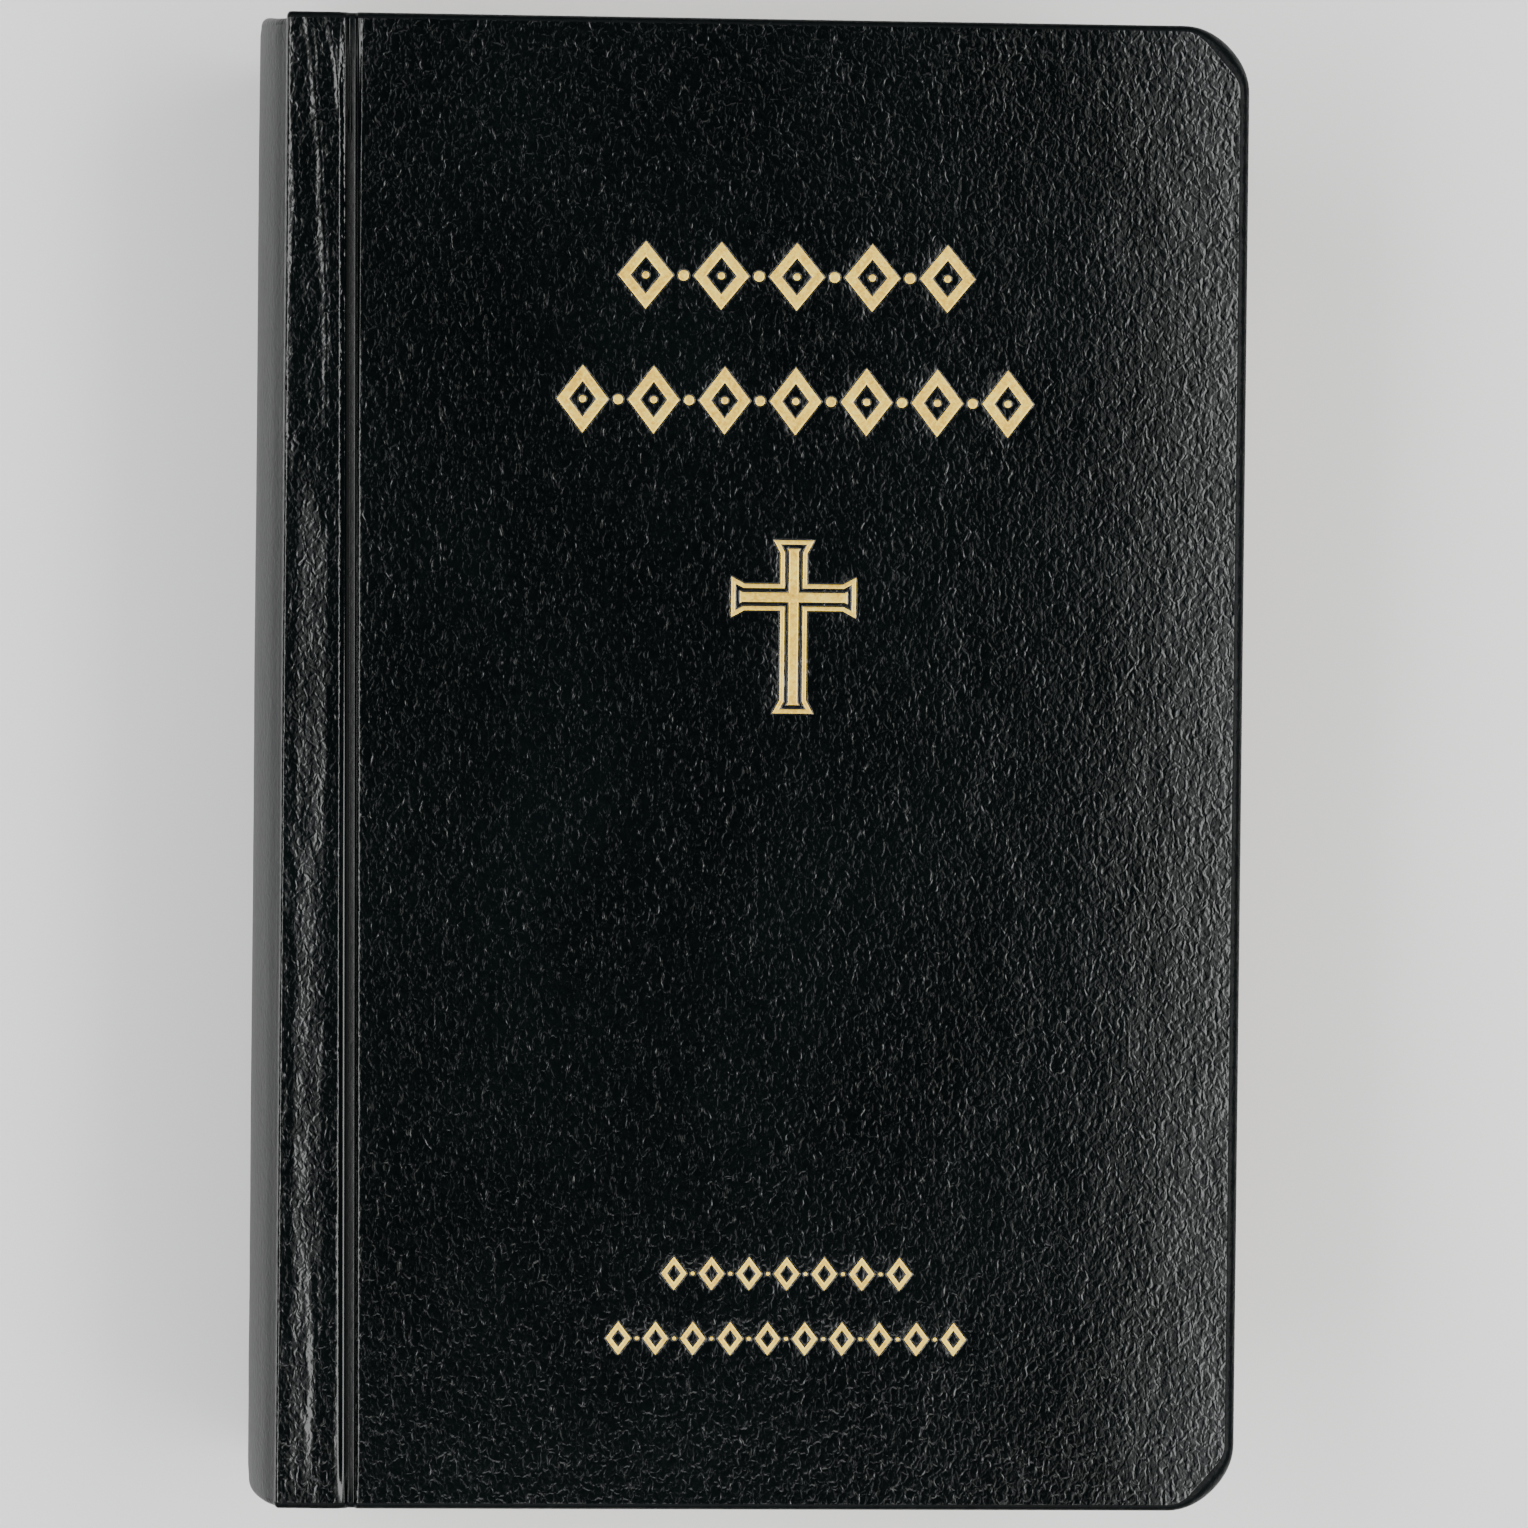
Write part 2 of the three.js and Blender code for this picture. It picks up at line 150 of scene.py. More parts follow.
def make_mesh(name, vertices_mm, faces, materials, uv_mm=None, smooth=True):
    """A mesh object from points in mm. Its UV map holds the flat position on the material, in metres."""
    mesh = bpy.data.meshes.new(name)
    mesh.from_pydata((np.asarray(vertices_mm, float) * MM).tolist(), [], [list(map(int, f)) for f in faces])
    if uv_mm is not None:
        layer = mesh.uv_layers.new(name="flat")
        loops = np.zeros(len(mesh.loops), np.int32)
        mesh.loops.foreach_get("vertex_index", loops)
        layer.data.foreach_set("uv", (np.asarray(uv_mm, float)[loops] * MM).astype(np.float32).ravel())
    mesh.polygons.foreach_set("use_smooth", [smooth] * len(mesh.polygons))
    mesh.validate()
    mesh.update()
    for material in materials:
        mesh.materials.append(material)
    return placed(bpy.data.objects.new(name, mesh))


def placed(item):
    bpy.context.scene.collection.objects.link(item)
    return item


def thicken(piece, thickness_mm):
    """Gives a sheet its thickness, inwards from the face that shows."""
    solidify = piece.modifiers.new("thickness", "SOLIDIFY")
    solidify.thickness = thickness_mm * MM
    solidify.offset = -1
    solidify.use_rim = True
    graph = bpy.context.evaluated_depsgraph_get()
    flat, piece.data = piece.data, bpy.data.meshes.new_from_object(piece.evaluated_get(graph))
    piece.modifiers.clear()
    bpy.data.meshes.remove(flat)
    piece.data.name = piece.name
    return piece


def loop_quads(low, high, count):
    """Faces between two closed loops of count points, given the first point of each."""
    following = [*range(1, count), 0]
    return [(low + i, low + j, high + j, high + i) for i, j in enumerate(following)]


# ---- materials
class Tree:
    """A new material's nodes, with short calls for the kinds used here."""

    def __init__(self, name):
        self.material = bpy.data.materials.new(name)
        self.material.use_nodes = True
        self.nodes = self.material.node_tree.nodes
        self.shader = self.nodes["Principled BSDF"]

    def link(self, output, node, socket):
        self.material.node_tree.links.new(output, node.inputs[socket])

    def add(self, kind, inputs=(), **settings):
        node = self.nodes.new("ShaderNode" + kind)
        for key, value in settings.items():
            setattr(node, key, value)
        for key, value in dict(inputs).items():
            node.inputs[key].default_value = value
        return node

    def calculate(self, operation, *values):
        """A Math node whose inputs are sockets or numbers."""
        node = self.add("Math", operation=operation)
        for i, value in enumerate(values):
            if isinstance(value, (int, float)):
                node.inputs[i].default_value = value
            else:
                self.link(value, node, i)
        return node.outputs[0]

    def ramp(self, value, *stops):
        """A colour ramp: stops are (position, colour)."""
        node = self.add("ValToRGB")
        elements = node.color_ramp.elements
        while len(elements) < len(stops):
            elements.new(0.5)
        for element, (position, colour) in zip(elements, stops):
            element.position = position
            element.color = (*colour, 1)
        self.link(value, node, 0)
        return node.outputs[0]

    def map_range(self, value, low, high, start, end, kind="SMOOTHSTEP"):
        """A value that goes from start to end while the input goes from low to high."""
        node = self.add("MapRange", {"From Min": low, "From Max": high, "To Min": start, "To Max": end},
                        interpolation_type=kind)
        self.link(value, node, "Value")
        return node.outputs[0]

    def place(self):
        return self.add("TexCoord").outputs["Object"]

    def flat_place(self):
        """The flat position on the sheet, from the UV map that make_mesh writes."""
        return self.add("UVMap", uv_map="flat").outputs[0]

    def scaled(self, source, *scale):
        node = self.add("Mapping", {"Scale": scale})
        self.link(source, node, "Vector")
        return node.outputs["Vector"]

    def noise(self, vector, scale, detail=3.0, roughness=0.5, distortion=0.0, output="Fac"):
        node = self.add("TexNoise", {"Scale": scale, "Detail": detail, "Roughness": roughness,
                                     "Distortion": distortion})
        self.link(vector, node, "Vector")
        return node.outputs[output]

    def stripes(self, vector, scale, direction, distortion=0.4):
        node = self.add("TexWave", {"Scale": scale, "Distortion": distortion}, bands_direction=direction)
        self.link(vector, node, "Vector")
        return node.outputs["Fac"]

    def across(self, uv):
        """How far across the sheet a point of the case lies, from the shoulder, in mm."""
        split = self.add("SeparateXYZ")
        self.link(uv, split, 0)
        return self.calculate("MULTIPLY", split.outputs[0], 1 / MM)

    def colour(self, output):
        self.link(output, self.shader, "Base Color")

    def bump(self, height, strength, distance):
        node = self.add("Bump", {"Strength": strength, "Distance": distance})
        self.link(height, node, "Height")
        self.link(node.outputs[0], self.shader, "Normal")

    def set(self, **values):
        """Values on the shader's own sockets, such as roughness=0.5."""
        for key, value in values.items():
            self.shader.inputs[key.replace("_", " ").title().replace("Ior", "IOR")].default_value = value


GRAIN_WIDTH = 0.43    # mm across a grain of the leatherette
GRAIN_STRETCH = 0.70  # how much longer a grain is along the book's height
GRAIN_DEPTH = 0.088   # mm from the top of the grain to the bottom of its creases
GRAIN_BEND = 2.4      # how many grains' widths the coarser noise shifts the grain by
BOW_WIDTH = 20.0      # mm from the fore-edge over which the covers seem to bow down
BOW = 0.9             # mm that they seem to drop there
GLOSS = 0.10          # roughness of the lacquer
RUB = 0.42            # how much rougher handling has made it on the round of the spine
PRESSED, FREED = (6.9, 7.6), (10.6, 10.9)     # where the groove's grain is lost and comes back, unrolled
PRESSED_GRAIN = 0.15  # how much of it is left there


def leatherette_material(name, smooth_joint=False, specular=0.5, dulled_for_shade=0.0):
    """Near-black green leatherette with a fine crinkled grain and a lacquered gloss."""
    tree = Tree(name)
    uv = tree.flat_place()
    per_metre = 1 / (MM * GRAIN_WIDTH)
    flat = tree.scaled(uv, per_metre, per_metre * GRAIN_STRETCH, 1)

    # Everything is bent by a coarser noise, so that the grain runs together into crinkles.
    bend = tree.noise(flat, 0.45, 1.0, output="Color")
    offset = tree.add("VectorMath", {1: (GRAIN_BEND, GRAIN_BEND, 0)}, operation="MULTIPLY_ADD")
    tree.link(bend, offset, 0)
    tree.link(flat, offset, 2)
    cells = tree.add("TexVoronoi", {"Scale": 0.9, "Randomness": 1.0, "Smoothness": 0.4},
                     feature="SMOOTH_F1", voronoi_dimensions="2D")
    tree.link(offset.outputs[0], cells, "Vector")
    domes = tree.calculate("SUBTRACT", 1.0, tree.calculate("POWER", cells.outputs["Distance"], 2.0))
    crinkle = tree.noise(offset.outputs[0], 0.72, 1.0)
    fine = tree.noise(flat, 2.2, 1.0)
    swell = tree.noise(flat, 0.10, 1.0)
    grain = tree.calculate("MULTIPLY_ADD", domes, 0.20, tree.calculate("MULTIPLY", crinkle, 1.0))
    height = tree.calculate("MULTIPLY_ADD", fine, 0.10, grain)
    height = tree.calculate("MULTIPLY_ADD", swell, 1.2, height)
    if smooth_joint:
        height = tree.calculate("MULTIPLY", height, joint_grain(tree, uv))
        height = tree.calculate("MULTIPLY_ADD", board_bow(tree, uv), -BOW / GRAIN_DEPTH, height)
    tree.bump(height, 1.0, GRAIN_DEPTH * MM)

    tint = tree.noise(flat, 0.02)
    tree.colour(tree.ramp(tree.calculate("MULTIPLY_ADD", grain, 0.35, tint),
                          (0.45, (0.0004, 0.0010, 0.0011)), (1.0, (0.0012, 0.0026, 0.0028))))
    # dulled_for_shade raises the roughness of the copy that paints shade; its lowered specular darkens it
    # further.
    rough = tree.calculate("MULTIPLY_ADD", crinkle, 0.07, GLOSS + dulled_for_shade)
    tree.set(specular_ior_level=specular)
    if smooth_joint:
        # Rubbed on the round of the spine, and not from the shoulder on.
        rubbed = tree.map_range(tree.across(uv), -0.4, 0.4, 1.0, 0.0)
        rough = tree.calculate("MULTIPLY_ADD", rubbed, RUB, rough)
    tree.link(rough, tree.shader, "Roughness")
    return tree.material


def joint_grain(tree, uv):
    """How much of the grain is left along the joint, where the covering is pressed and stretched."""
    across = tree.across(uv)
    pressed = tree.map_range(across, *PRESSED, 1.0, PRESSED_GRAIN)
    freed = tree.map_range(across, *FREED, 0.0, 1 - PRESSED_GRAIN)
    return tree.calculate("ADD", pressed, freed)


def board_bow(tree, uv):
    """Rises from 0 to 1 over the last stretch before the fore-edge, ever more steeply."""
    split = tree.add("SeparateXYZ")
    tree.link(uv, split, 0)
    section = case_section(False)
    joint_length = np.linalg.norm(np.diff(section, axis=0), axis=1).sum()
    unrolled = joint_length + FORE_EDGE - section[-1, 0]
    share = tree.map_range(split.outputs[0], (unrolled - BOW_WIDTH) * MM, unrolled * MM, 0.0, 1.0, "LINEAR")
    return tree.calculate("POWER", share, 2.0)


def foil_material():
    """Hot-stamped gold foil: pale, a little broken by the grain under it."""
    tree = Tree("gold_foil")
    place = tree.place()
    speckle = tree.noise(place, 2600.0, 3.0, 0.6)
    patch = tree.noise(place, 240.0, 2.0)
    tree.colour(tree.ramp(tree.calculate("MULTIPLY_ADD", patch, 0.5, speckle),
                          (0.45, (0.64, 0.36, 0.03)), (0.75, (0.93, 0.62, 0.08)), (1.0, (1.0, 0.79, 0.16))))
    tree.set(metallic=0.6)
    tree.link(tree.calculate("MULTIPLY_ADD", speckle, 0.25, 0.33), tree.shader, "Roughness")
    tree.bump(speckle, 0.5, 0.04 * MM)
    return tree.material


def paper_material(name, light, dark, fibre_scale=1800.0, bump_strength=0.35):
    """Uncoated paper with fibres and slight blotches."""
    tree = Tree(name)
    place = tree.place()
    fibres = tree.noise(place, fibre_scale, 4.0, 0.65, 0.6)
    blotch = tree.noise(place, 70.0)
    mixed = tree.calculate("MULTIPLY_ADD", blotch, 0.6, tree.calculate("MULTIPLY", fibres, 0.4))
    tree.colour(tree.ramp(mixed, (0.3, dark), (0.62, light)))
    tree.set(roughness=0.86, specular_ior_level=0.25)
    tree.bump(fibres, bump_strength, 0.03 * MM)
    return tree.material


def page_edge_material():
    """Cut edges of thin leaves: fine lines along the leaves with random tone, and darker lines that paint the
    shade between them.
    """
    tree = Tree("page_edges")
    place = tree.place()
    streaks = tree.noise(tree.scaled(place, 120.0, 120.0, 16000.0), 1.0, 3.0, 0.7)
    broad = tree.noise(tree.scaled(place, 30.0, 30.0, 1400.0), 1.0, 2.0)
    mixed = tree.calculate("MULTIPLY_ADD", broad, 0.5, tree.calculate("MULTIPLY", streaks, 0.5))
    # Painted shade: the dark end of this ramp darkens the streaks as if shaded between the leaves; the rest
    # is random tone.
    tree.colour(tree.ramp(mixed, (0.28, (0.36, 0.29, 0.19)), (0.5, (0.66, 0.58, 0.43)),
                          (0.72, (0.80, 0.73, 0.58))))
    tree.set(roughness=0.88, specular_ior_level=0.2)
    tree.bump(streaks, 0.6, 0.06 * MM)
    return tree.material


def woven_material(name, light, dark, threads_per_mm):
    """Open-weave cloth or thread."""
    tree = Tree(name)
    scaled = tree.scaled(tree.place(), *(threads_per_mm / MM,) * 3)
    warp = tree.stripes(scaled, 0.5, "Y")
    weft = tree.stripes(scaled, 0.5, "Z")
    weave = tree.calculate("MAXIMUM", warp, weft)
    tree.colour(tree.ramp(weave, (0.2, dark), (0.8, light)))
    tree.set(roughness=0.92)
    tree.bump(weave, 0.6, 0.1 * MM)
    return tree.material


def band_material():
    """Headband: cream and dark green silk wound over a core."""
    tree = Tree("headband_silk")
    uv = tree.flat_place()
    windings = tree.stripes(uv, 160.0, "X", 0.0)
    threads = tree.stripes(uv, 1500.0, "X")
    tree.colour(tree.ramp(windings, (0.47, (0.70, 0.65, 0.50)), (0.53, (0.012, 0.05, 0.03))))
    tree.set(roughness=0.5, sheen_weight=0.3)
    tree.bump(threads, 0.8, 0.08 * MM)
    return tree.material


def floor_material():
    tree = Tree("pale_table")
    mottle = tree.noise(tree.place(), 9.0)
    tree.colour(tree.ramp(mottle, (0.35, (0.84, 0.84, 0.84)), (0.65, (0.87, 0.87, 0.872))))
    tree.set(roughness=0.8)
    return tree.material


# ---- the case's leather
def spine_arc(z0, z1, step, radius=SPINE_RADIUS):
    """Points (x, z) on an arc about the spine's centre, from one height to another."""
    a0 = math.asin((z0 - SPINE_CENTRE[1]) / radius)
    a1 = math.asin((z1 - SPINE_CENTRE[1]) / radius)
    angles = np.linspace(a0, a1, max(2, round(abs(a1 - a0) * radius / step)) + 1)
    return SPINE_CENTRE + radius * np.column_stack([-np.cos(angles), np.sin(angles)])


# Section of the joint, as (distance from the shoulder, height below the top), from the shoulder to the board.
JOINT_SECTION = [
    (0.02, -0.75), (0.08, -0.52), (0.2, -0.28), (0.36, -0.11), (0.46, -0.045), (0.58, -0.01), (0.8, 0.0),
    (1.3, 0.0), (2.9, 0.0), (4.6, 0.0),
    (5.6, 0.0), (6.15, 0.0), (6.33, -0.015), (6.45, -0.075), (6.68, -0.22), (6.82, -0.32), (6.92, -0.35),
    (7.04, -0.43), (7.18, -0.85), (7.32, -1.3), (7.4, -1.54), (7.46, -1.57), (8.02, -1.50), (8.08, -1.44),
    (8.22, -1.0), (8.33, -0.45), (8.44, -0.14), (8.58, -0.03), (8.8, 0.0), (9.2, 0.0), (9.8, 0.0),
]
GROOVE_START = 6.15
GROOVE_FLOOR = (6.3, 7.2)     # where the covering over the groove's near lip goes down
BOARD_EDGE = (8.0, 8.3)       # where it goes up again onto the board
JOINT_END = 14                # no wear shows from here on
GROOVE_SKEW = (-0.3, 1.0)     # the groove runs a little askew: its shift at the head and at the tail
SKEW_START = (2.6, 5.0)       # where across the joint that shift sets in

# Spacing of the covering's points.
SPINE_STEP, JOINT_STEP = 0.9, 0.085   # round the spine and across the joint
STRIP_FLAT = (1.4, 5.8)               # part of the joint where every other point is enough
ROW_STEP, FIELD_STEP = 0.8, 1.7       # along the book, and over the board
CORNER_POINTS = 21                    # round each corner of the cover
LEFT_BOW = 0.05                       # of the field's left side, for the triangles only

SHOULDER_TURN = (-1.2, 1.3)   # where the direction through the covering turns, across the shoulder
SPINE_TUCK = [(0.75, -0.38), (0.35, -0.25)]   # how the spine's covering is tucked in at the back joint

# Ridges that opening the book has left: points (from the shoulder, from the head), height, half width.
WRINKLES = [
    ([(2.45, 0.3), (3.1, 6), (3.85, 14), (4.5, 25.5), (4.9, 36), (4.9, 48)], 0.085, 0.36),
    ([(4.6, 0.3), (5.2, 2.8), (5.75, 6.5), (6.15, 11), (6.15, 13)], 0.085, 0.22),
    ([(6.4, 0.3), (6.9, 5), (7.05, 12.5), (6.7, 17)], 0.085, 0.22),
    ([(0.9, 13), (1.2, 20), (0.8, 34)], 0.05, 0.30),
    ([(4.1, 140), (4.6, 155), (4.1, 166)], 0.07, 0.40),
    ([(3.0, 0.8), (3.4, 5), (3.3, 9)], 0.06, 0.20),
]
WRINKLE_WANDER = 0.12     # how far a ridge strays to either side
SWELLS = [(0.05, 26.0, 1.0), (0.02, 7.0, 2.0)]    # the covering's unevenness: height, size, seed
STRIP_SWELL, STRIP_SWELL_STRETCH = 0.06, 2.2      # more of it on the joint strip, drawn out along the book
GROOVE_END_RISE = 0.7     # share of its depth by which the groove comes up at the head and tail,
HEAD_RISE, TAIL_RISE = 7, 5   # over this length
SEAM_WIDTH = 1.5          # how far the painted shade under the shoulder, a duller and less reflective covering, reaches round the spine
PINCH = 0.32              # how far the spine's covering is drawn in under the shoulder
PINCH_PLACE, PINCH_WIDTH = -1.1, 1.3  # from the shoulder, round the spine
STRIP_SAG = 0.30          # how far the spine side of the joint strip is pulled down,
SAG_START, SAG_FULL = 40.0, 22.0      # from here to here along the book,
SAG_SIDE, SAG_SLOPE = (-0.5, 0.9), (1.9, 3.3)   # and across the strip: rise, and start and length of fall
SPINE_END_DRAW = 0.12     # how far the round is drawn in at its head and tail
HEAD_DRAW_LENGTH, TAIL_DRAW_LENGTH = 2.2, 3.5
FOLD_HEIGHT, FOLD_WIDTH = 0.16, 0.35  # a small slanting fold at the head, beside the shoulder
FOLD_START, FOLD_SLANT = -0.5, -1.35
CAP_DROP, CAP_RISE = 0.55, 1.5        # the spine's head: lower beside the shoulder, higher in the middle
CAP_LENGTH = 9                        # over this length along the book


def case_section(with_spine):
    """The outside of the case from its seam to the board's flat, as points (x, z)."""
    arc_end = TOP - SPINE_END
    if with_spine:
        start = spine_arc(SPINE_END, arc_end, SPINE_STEP)
        start = np.vstack([start[0] + SPINE_TUCK, start])
    else:
        start = np.array([[SHOULDER_X, arc_end - 0.02]])
    joint = [(SHOULDER_X + dx, TOP + dz) for dx, dz in JOINT_SECTION]
    rest = spline(np.vstack([start[-1:], joint]), JOINT_STEP)
    across = rest[:, 0] - SHOULDER_X
    on_strip = (across > STRIP_FLAT[0]) & (across < STRIP_FLAT[1])
    rest = rest[~on_strip | (np.arange(len(rest)) % 2 == 0)]
    return np.vstack([start, rest[1:]])


def near_end(y, length, edge=ROLL):
    """Rises from 0 to 1 over a length before the head's edge, or before the tail's for -y."""
    return smoothstep(HALF_HEIGHT - length, HALF_HEIGHT - edge, y)


def groove_skew(across, y):
    """How far the groove is shifted, given the distance from the shoulder and the place along the book."""
    head, tail = GROOVE_SKEW
    share = (HALF_HEIGHT - y) / (2 * HALF_HEIGHT)
    return (head + (tail - head) * share) * smoothstep(*SKEW_START, across)


def inward_direction(points):
    """Directions through the covering: towards the spine's centre on the round, down elsewhere."""
    centre = SPINE_CENTRE - points
    radial = np.arctan2(centre[:, 1], centre[:, 0])
    flat = smoothstep(*SHOULDER_TURN, points[:, 0] - SHOULDER_X) * (points[:, 1] > TOP / 2)
    angle = radial * (1 - flat) - math.pi / 2 * flat
    return np.column_stack([np.cos(angle), np.sin(angle)])


def covering_depth(points):
    """How far below the outside its turned-in layer lies."""
    over_board = smoothstep(*BOARD_EDGE, points[:, 0] - SHOULDER_X)
    in_groove = smoothstep(*GROOVE_FLOOR, points[:, 0] - SHOULDER_X)
    beside_board = JOINT_DEPTH + GROOVE_DEPTH * in_groove
    return beside_board * (1 - over_board) + (points[:, 1] - TOP + BOARD_DEPTH) * over_board


def ridge(across, y, line, tall, wide):
    """One wrinkle: its height at points given by their distance from the shoulder and their y."""
    line = np.array(line, float)
    along = HALF_HEIGHT - y
    centre = np.interp(along, line[:, 1], line[:, 0])
    start = smoothstep(line[0, 1] - 2, line[0, 1] + 1, along)
    end = smoothstep(line[-1, 1] - 4, line[-1, 1], along)
    wander = WRINKLE_WANDER * wave(across * 0, y, 3.0, tall * 50)
    return tall * start * (1 - end) * np.exp(-((across - centre - wander) / wide) ** 2)


def joint_relief(across, y, worn):
    """Height of the wear along the joint over the plain section."""
    unskewed = across - groove_skew(across, y)
    ends = near_end(y, HEAD_RISE, 0) + near_end(-y, TAIL_RISE, 0)
    groove_depth = -np.interp(unskewed, *np.array(JOINT_SECTION).T) * (unskewed > GROOVE_START)
    height = GROOVE_END_RISE * ends * groove_depth
    if not worn:
        return height
    for line, tall, wide in WRINKLES:
        height += ridge(across, y, line, tall, wide)

    # Below its upper third the strip has been pulled down towards the spine.
    pulled = 1 - smoothstep(SAG_FULL, SAG_START, y)
    fall_start, fall_length = SAG_SLOPE
    on_strip = smoothstep(*SAG_SIDE, across) * (1 - np.clip((across - fall_start) / fall_length, 0, 1))
    height -= STRIP_SAG * pulled * on_strip
    return height


def case_displacement(x, y, worn):
    """Small departures from the plain section, along the outward direction, in mm."""
    move = sum(tall * wave(x, y, size, seed) for tall, size, seed in SWELLS)
    across = x - SHOULDER_X
    on_strip = smoothstep(0.8, 1.6, across) * (1 - smoothstep(5.2, 6.0, across))
    move += on_strip * STRIP_SWELL * wave(x * STRIP_SWELL_STRETCH, y, 4.0, 5.0)
    return move + joint_relief(across, y, worn) * (across < JOINT_END)


def edge_roll(outs):
    """How far in from the edge the covering starts to roll over, given the outward direction."""
    return ROLL + (FORE_ROLL - ROLL) * outs[:, 0] ** 2 + CORNER_ROLL * (2 * outs[:, 0] * outs[:, 1]) ** 2


def corner_outline(step, head_x, tail_x):
    """The edge of the board's flat from the joint's head, round the fore-edge, to its tail.

    Gives its points, their outward directions, and how far in each lies."""
    centre_x, centre_y = FORE_EDGE - CORNER, HALF_HEIGHT - CORNER
    turn = np.linspace(math.pi / 2, 0, CORNER_POINTS)

    def between(start, end):
        return np.linspace(start, end, round(abs(end - start) / step) + 1)[1:-1]

    edge = [(x, HALF_HEIGHT, 0, 1) for x in between(head_x, centre_x)]
    edge += [corner_point(centre_x, centre_y, angle) for angle in turn]
    edge += [(FORE_EDGE, y, 1, 0) for y in between(centre_y, -centre_y)]
    edge += [corner_point(centre_x, -centre_y, angle) for angle in turn - math.pi / 2]
    edge += [(x, -HALF_HEIGHT, 0, -1) for x in between(centre_x, tail_x)]
    edge, outs = np.split(np.array(edge, float), 2, axis=1)
    rolls = edge_roll(outs)
    return edge - outs * rolls[:, None], outs, rolls


def corner_point(x, y, angle):
    """A point on a rounded corner, and its outward direction."""
    cos, sin = math.cos(angle), math.sin(angle)
    return x + CORNER * cos, y + CORNER * sin, cos, sin


def board_field(left_column, outline, guard, rings):
    """Triangles over the board's flat, through the pressed outlines of the foil.

    left_column and outline are the boundary, in order; rings are (loop, height) of the pressed shapes."""
    # The left side is bowed out a little here, or its nearly straight line would gain sliver triangles.
    bowed = left_column.copy()
    bowed[:, 0] -= LEFT_BOW * (1 - (left_column[:, 1] / HALF_HEIGHT) ** 2)
    boundary = np.vstack([bowed, outline])
    points = [tuple(p) for p in boundary]
    edges = loop_edges(0, len(boundary))
    heights = [0.0] * len(boundary)
    for loop, height in rings:
        edges += loop_edges(len(points), len(loop))
        points += [tuple(p) for p in loop]
        heights += [height] * len(loop)
    ring_points = np.array(points[len(boundary):])
    points += [tuple(p) for p in guard]
    heights += [0.0] * len(guard)
    reach = HALF_HEIGHT - ROLL
    for x in np.arange(boundary[:, 0].min() + FIELD_STEP, FORE_EDGE - ROLL - 0.6, FIELD_STEP):
        for y in np.arange(-reach + FIELD_STEP * 0.8, reach - 0.6, FIELD_STEP):
            roll = ROLL if x < FORE_EDGE - CORNER else FORE_ROLL + CORNER_ROLL
            if depth_inside(x, y, FORE_EDGE, HALF_HEIGHT, CORNER) < roll + GUARD + 0.5:
                continue
            if x < np.interp(y, left_column[:, 1], left_column[:, 0]) + 0.6:
                continue
            if len(ring_points) and np.min(np.abs(ring_points - (x, y)).max(1)) < 0.7:
                continue
            points.append((x, y))
            heights.append(0.0)
    return np.array(points), np.array(heights), triangulated(points, edges, 1e-5)


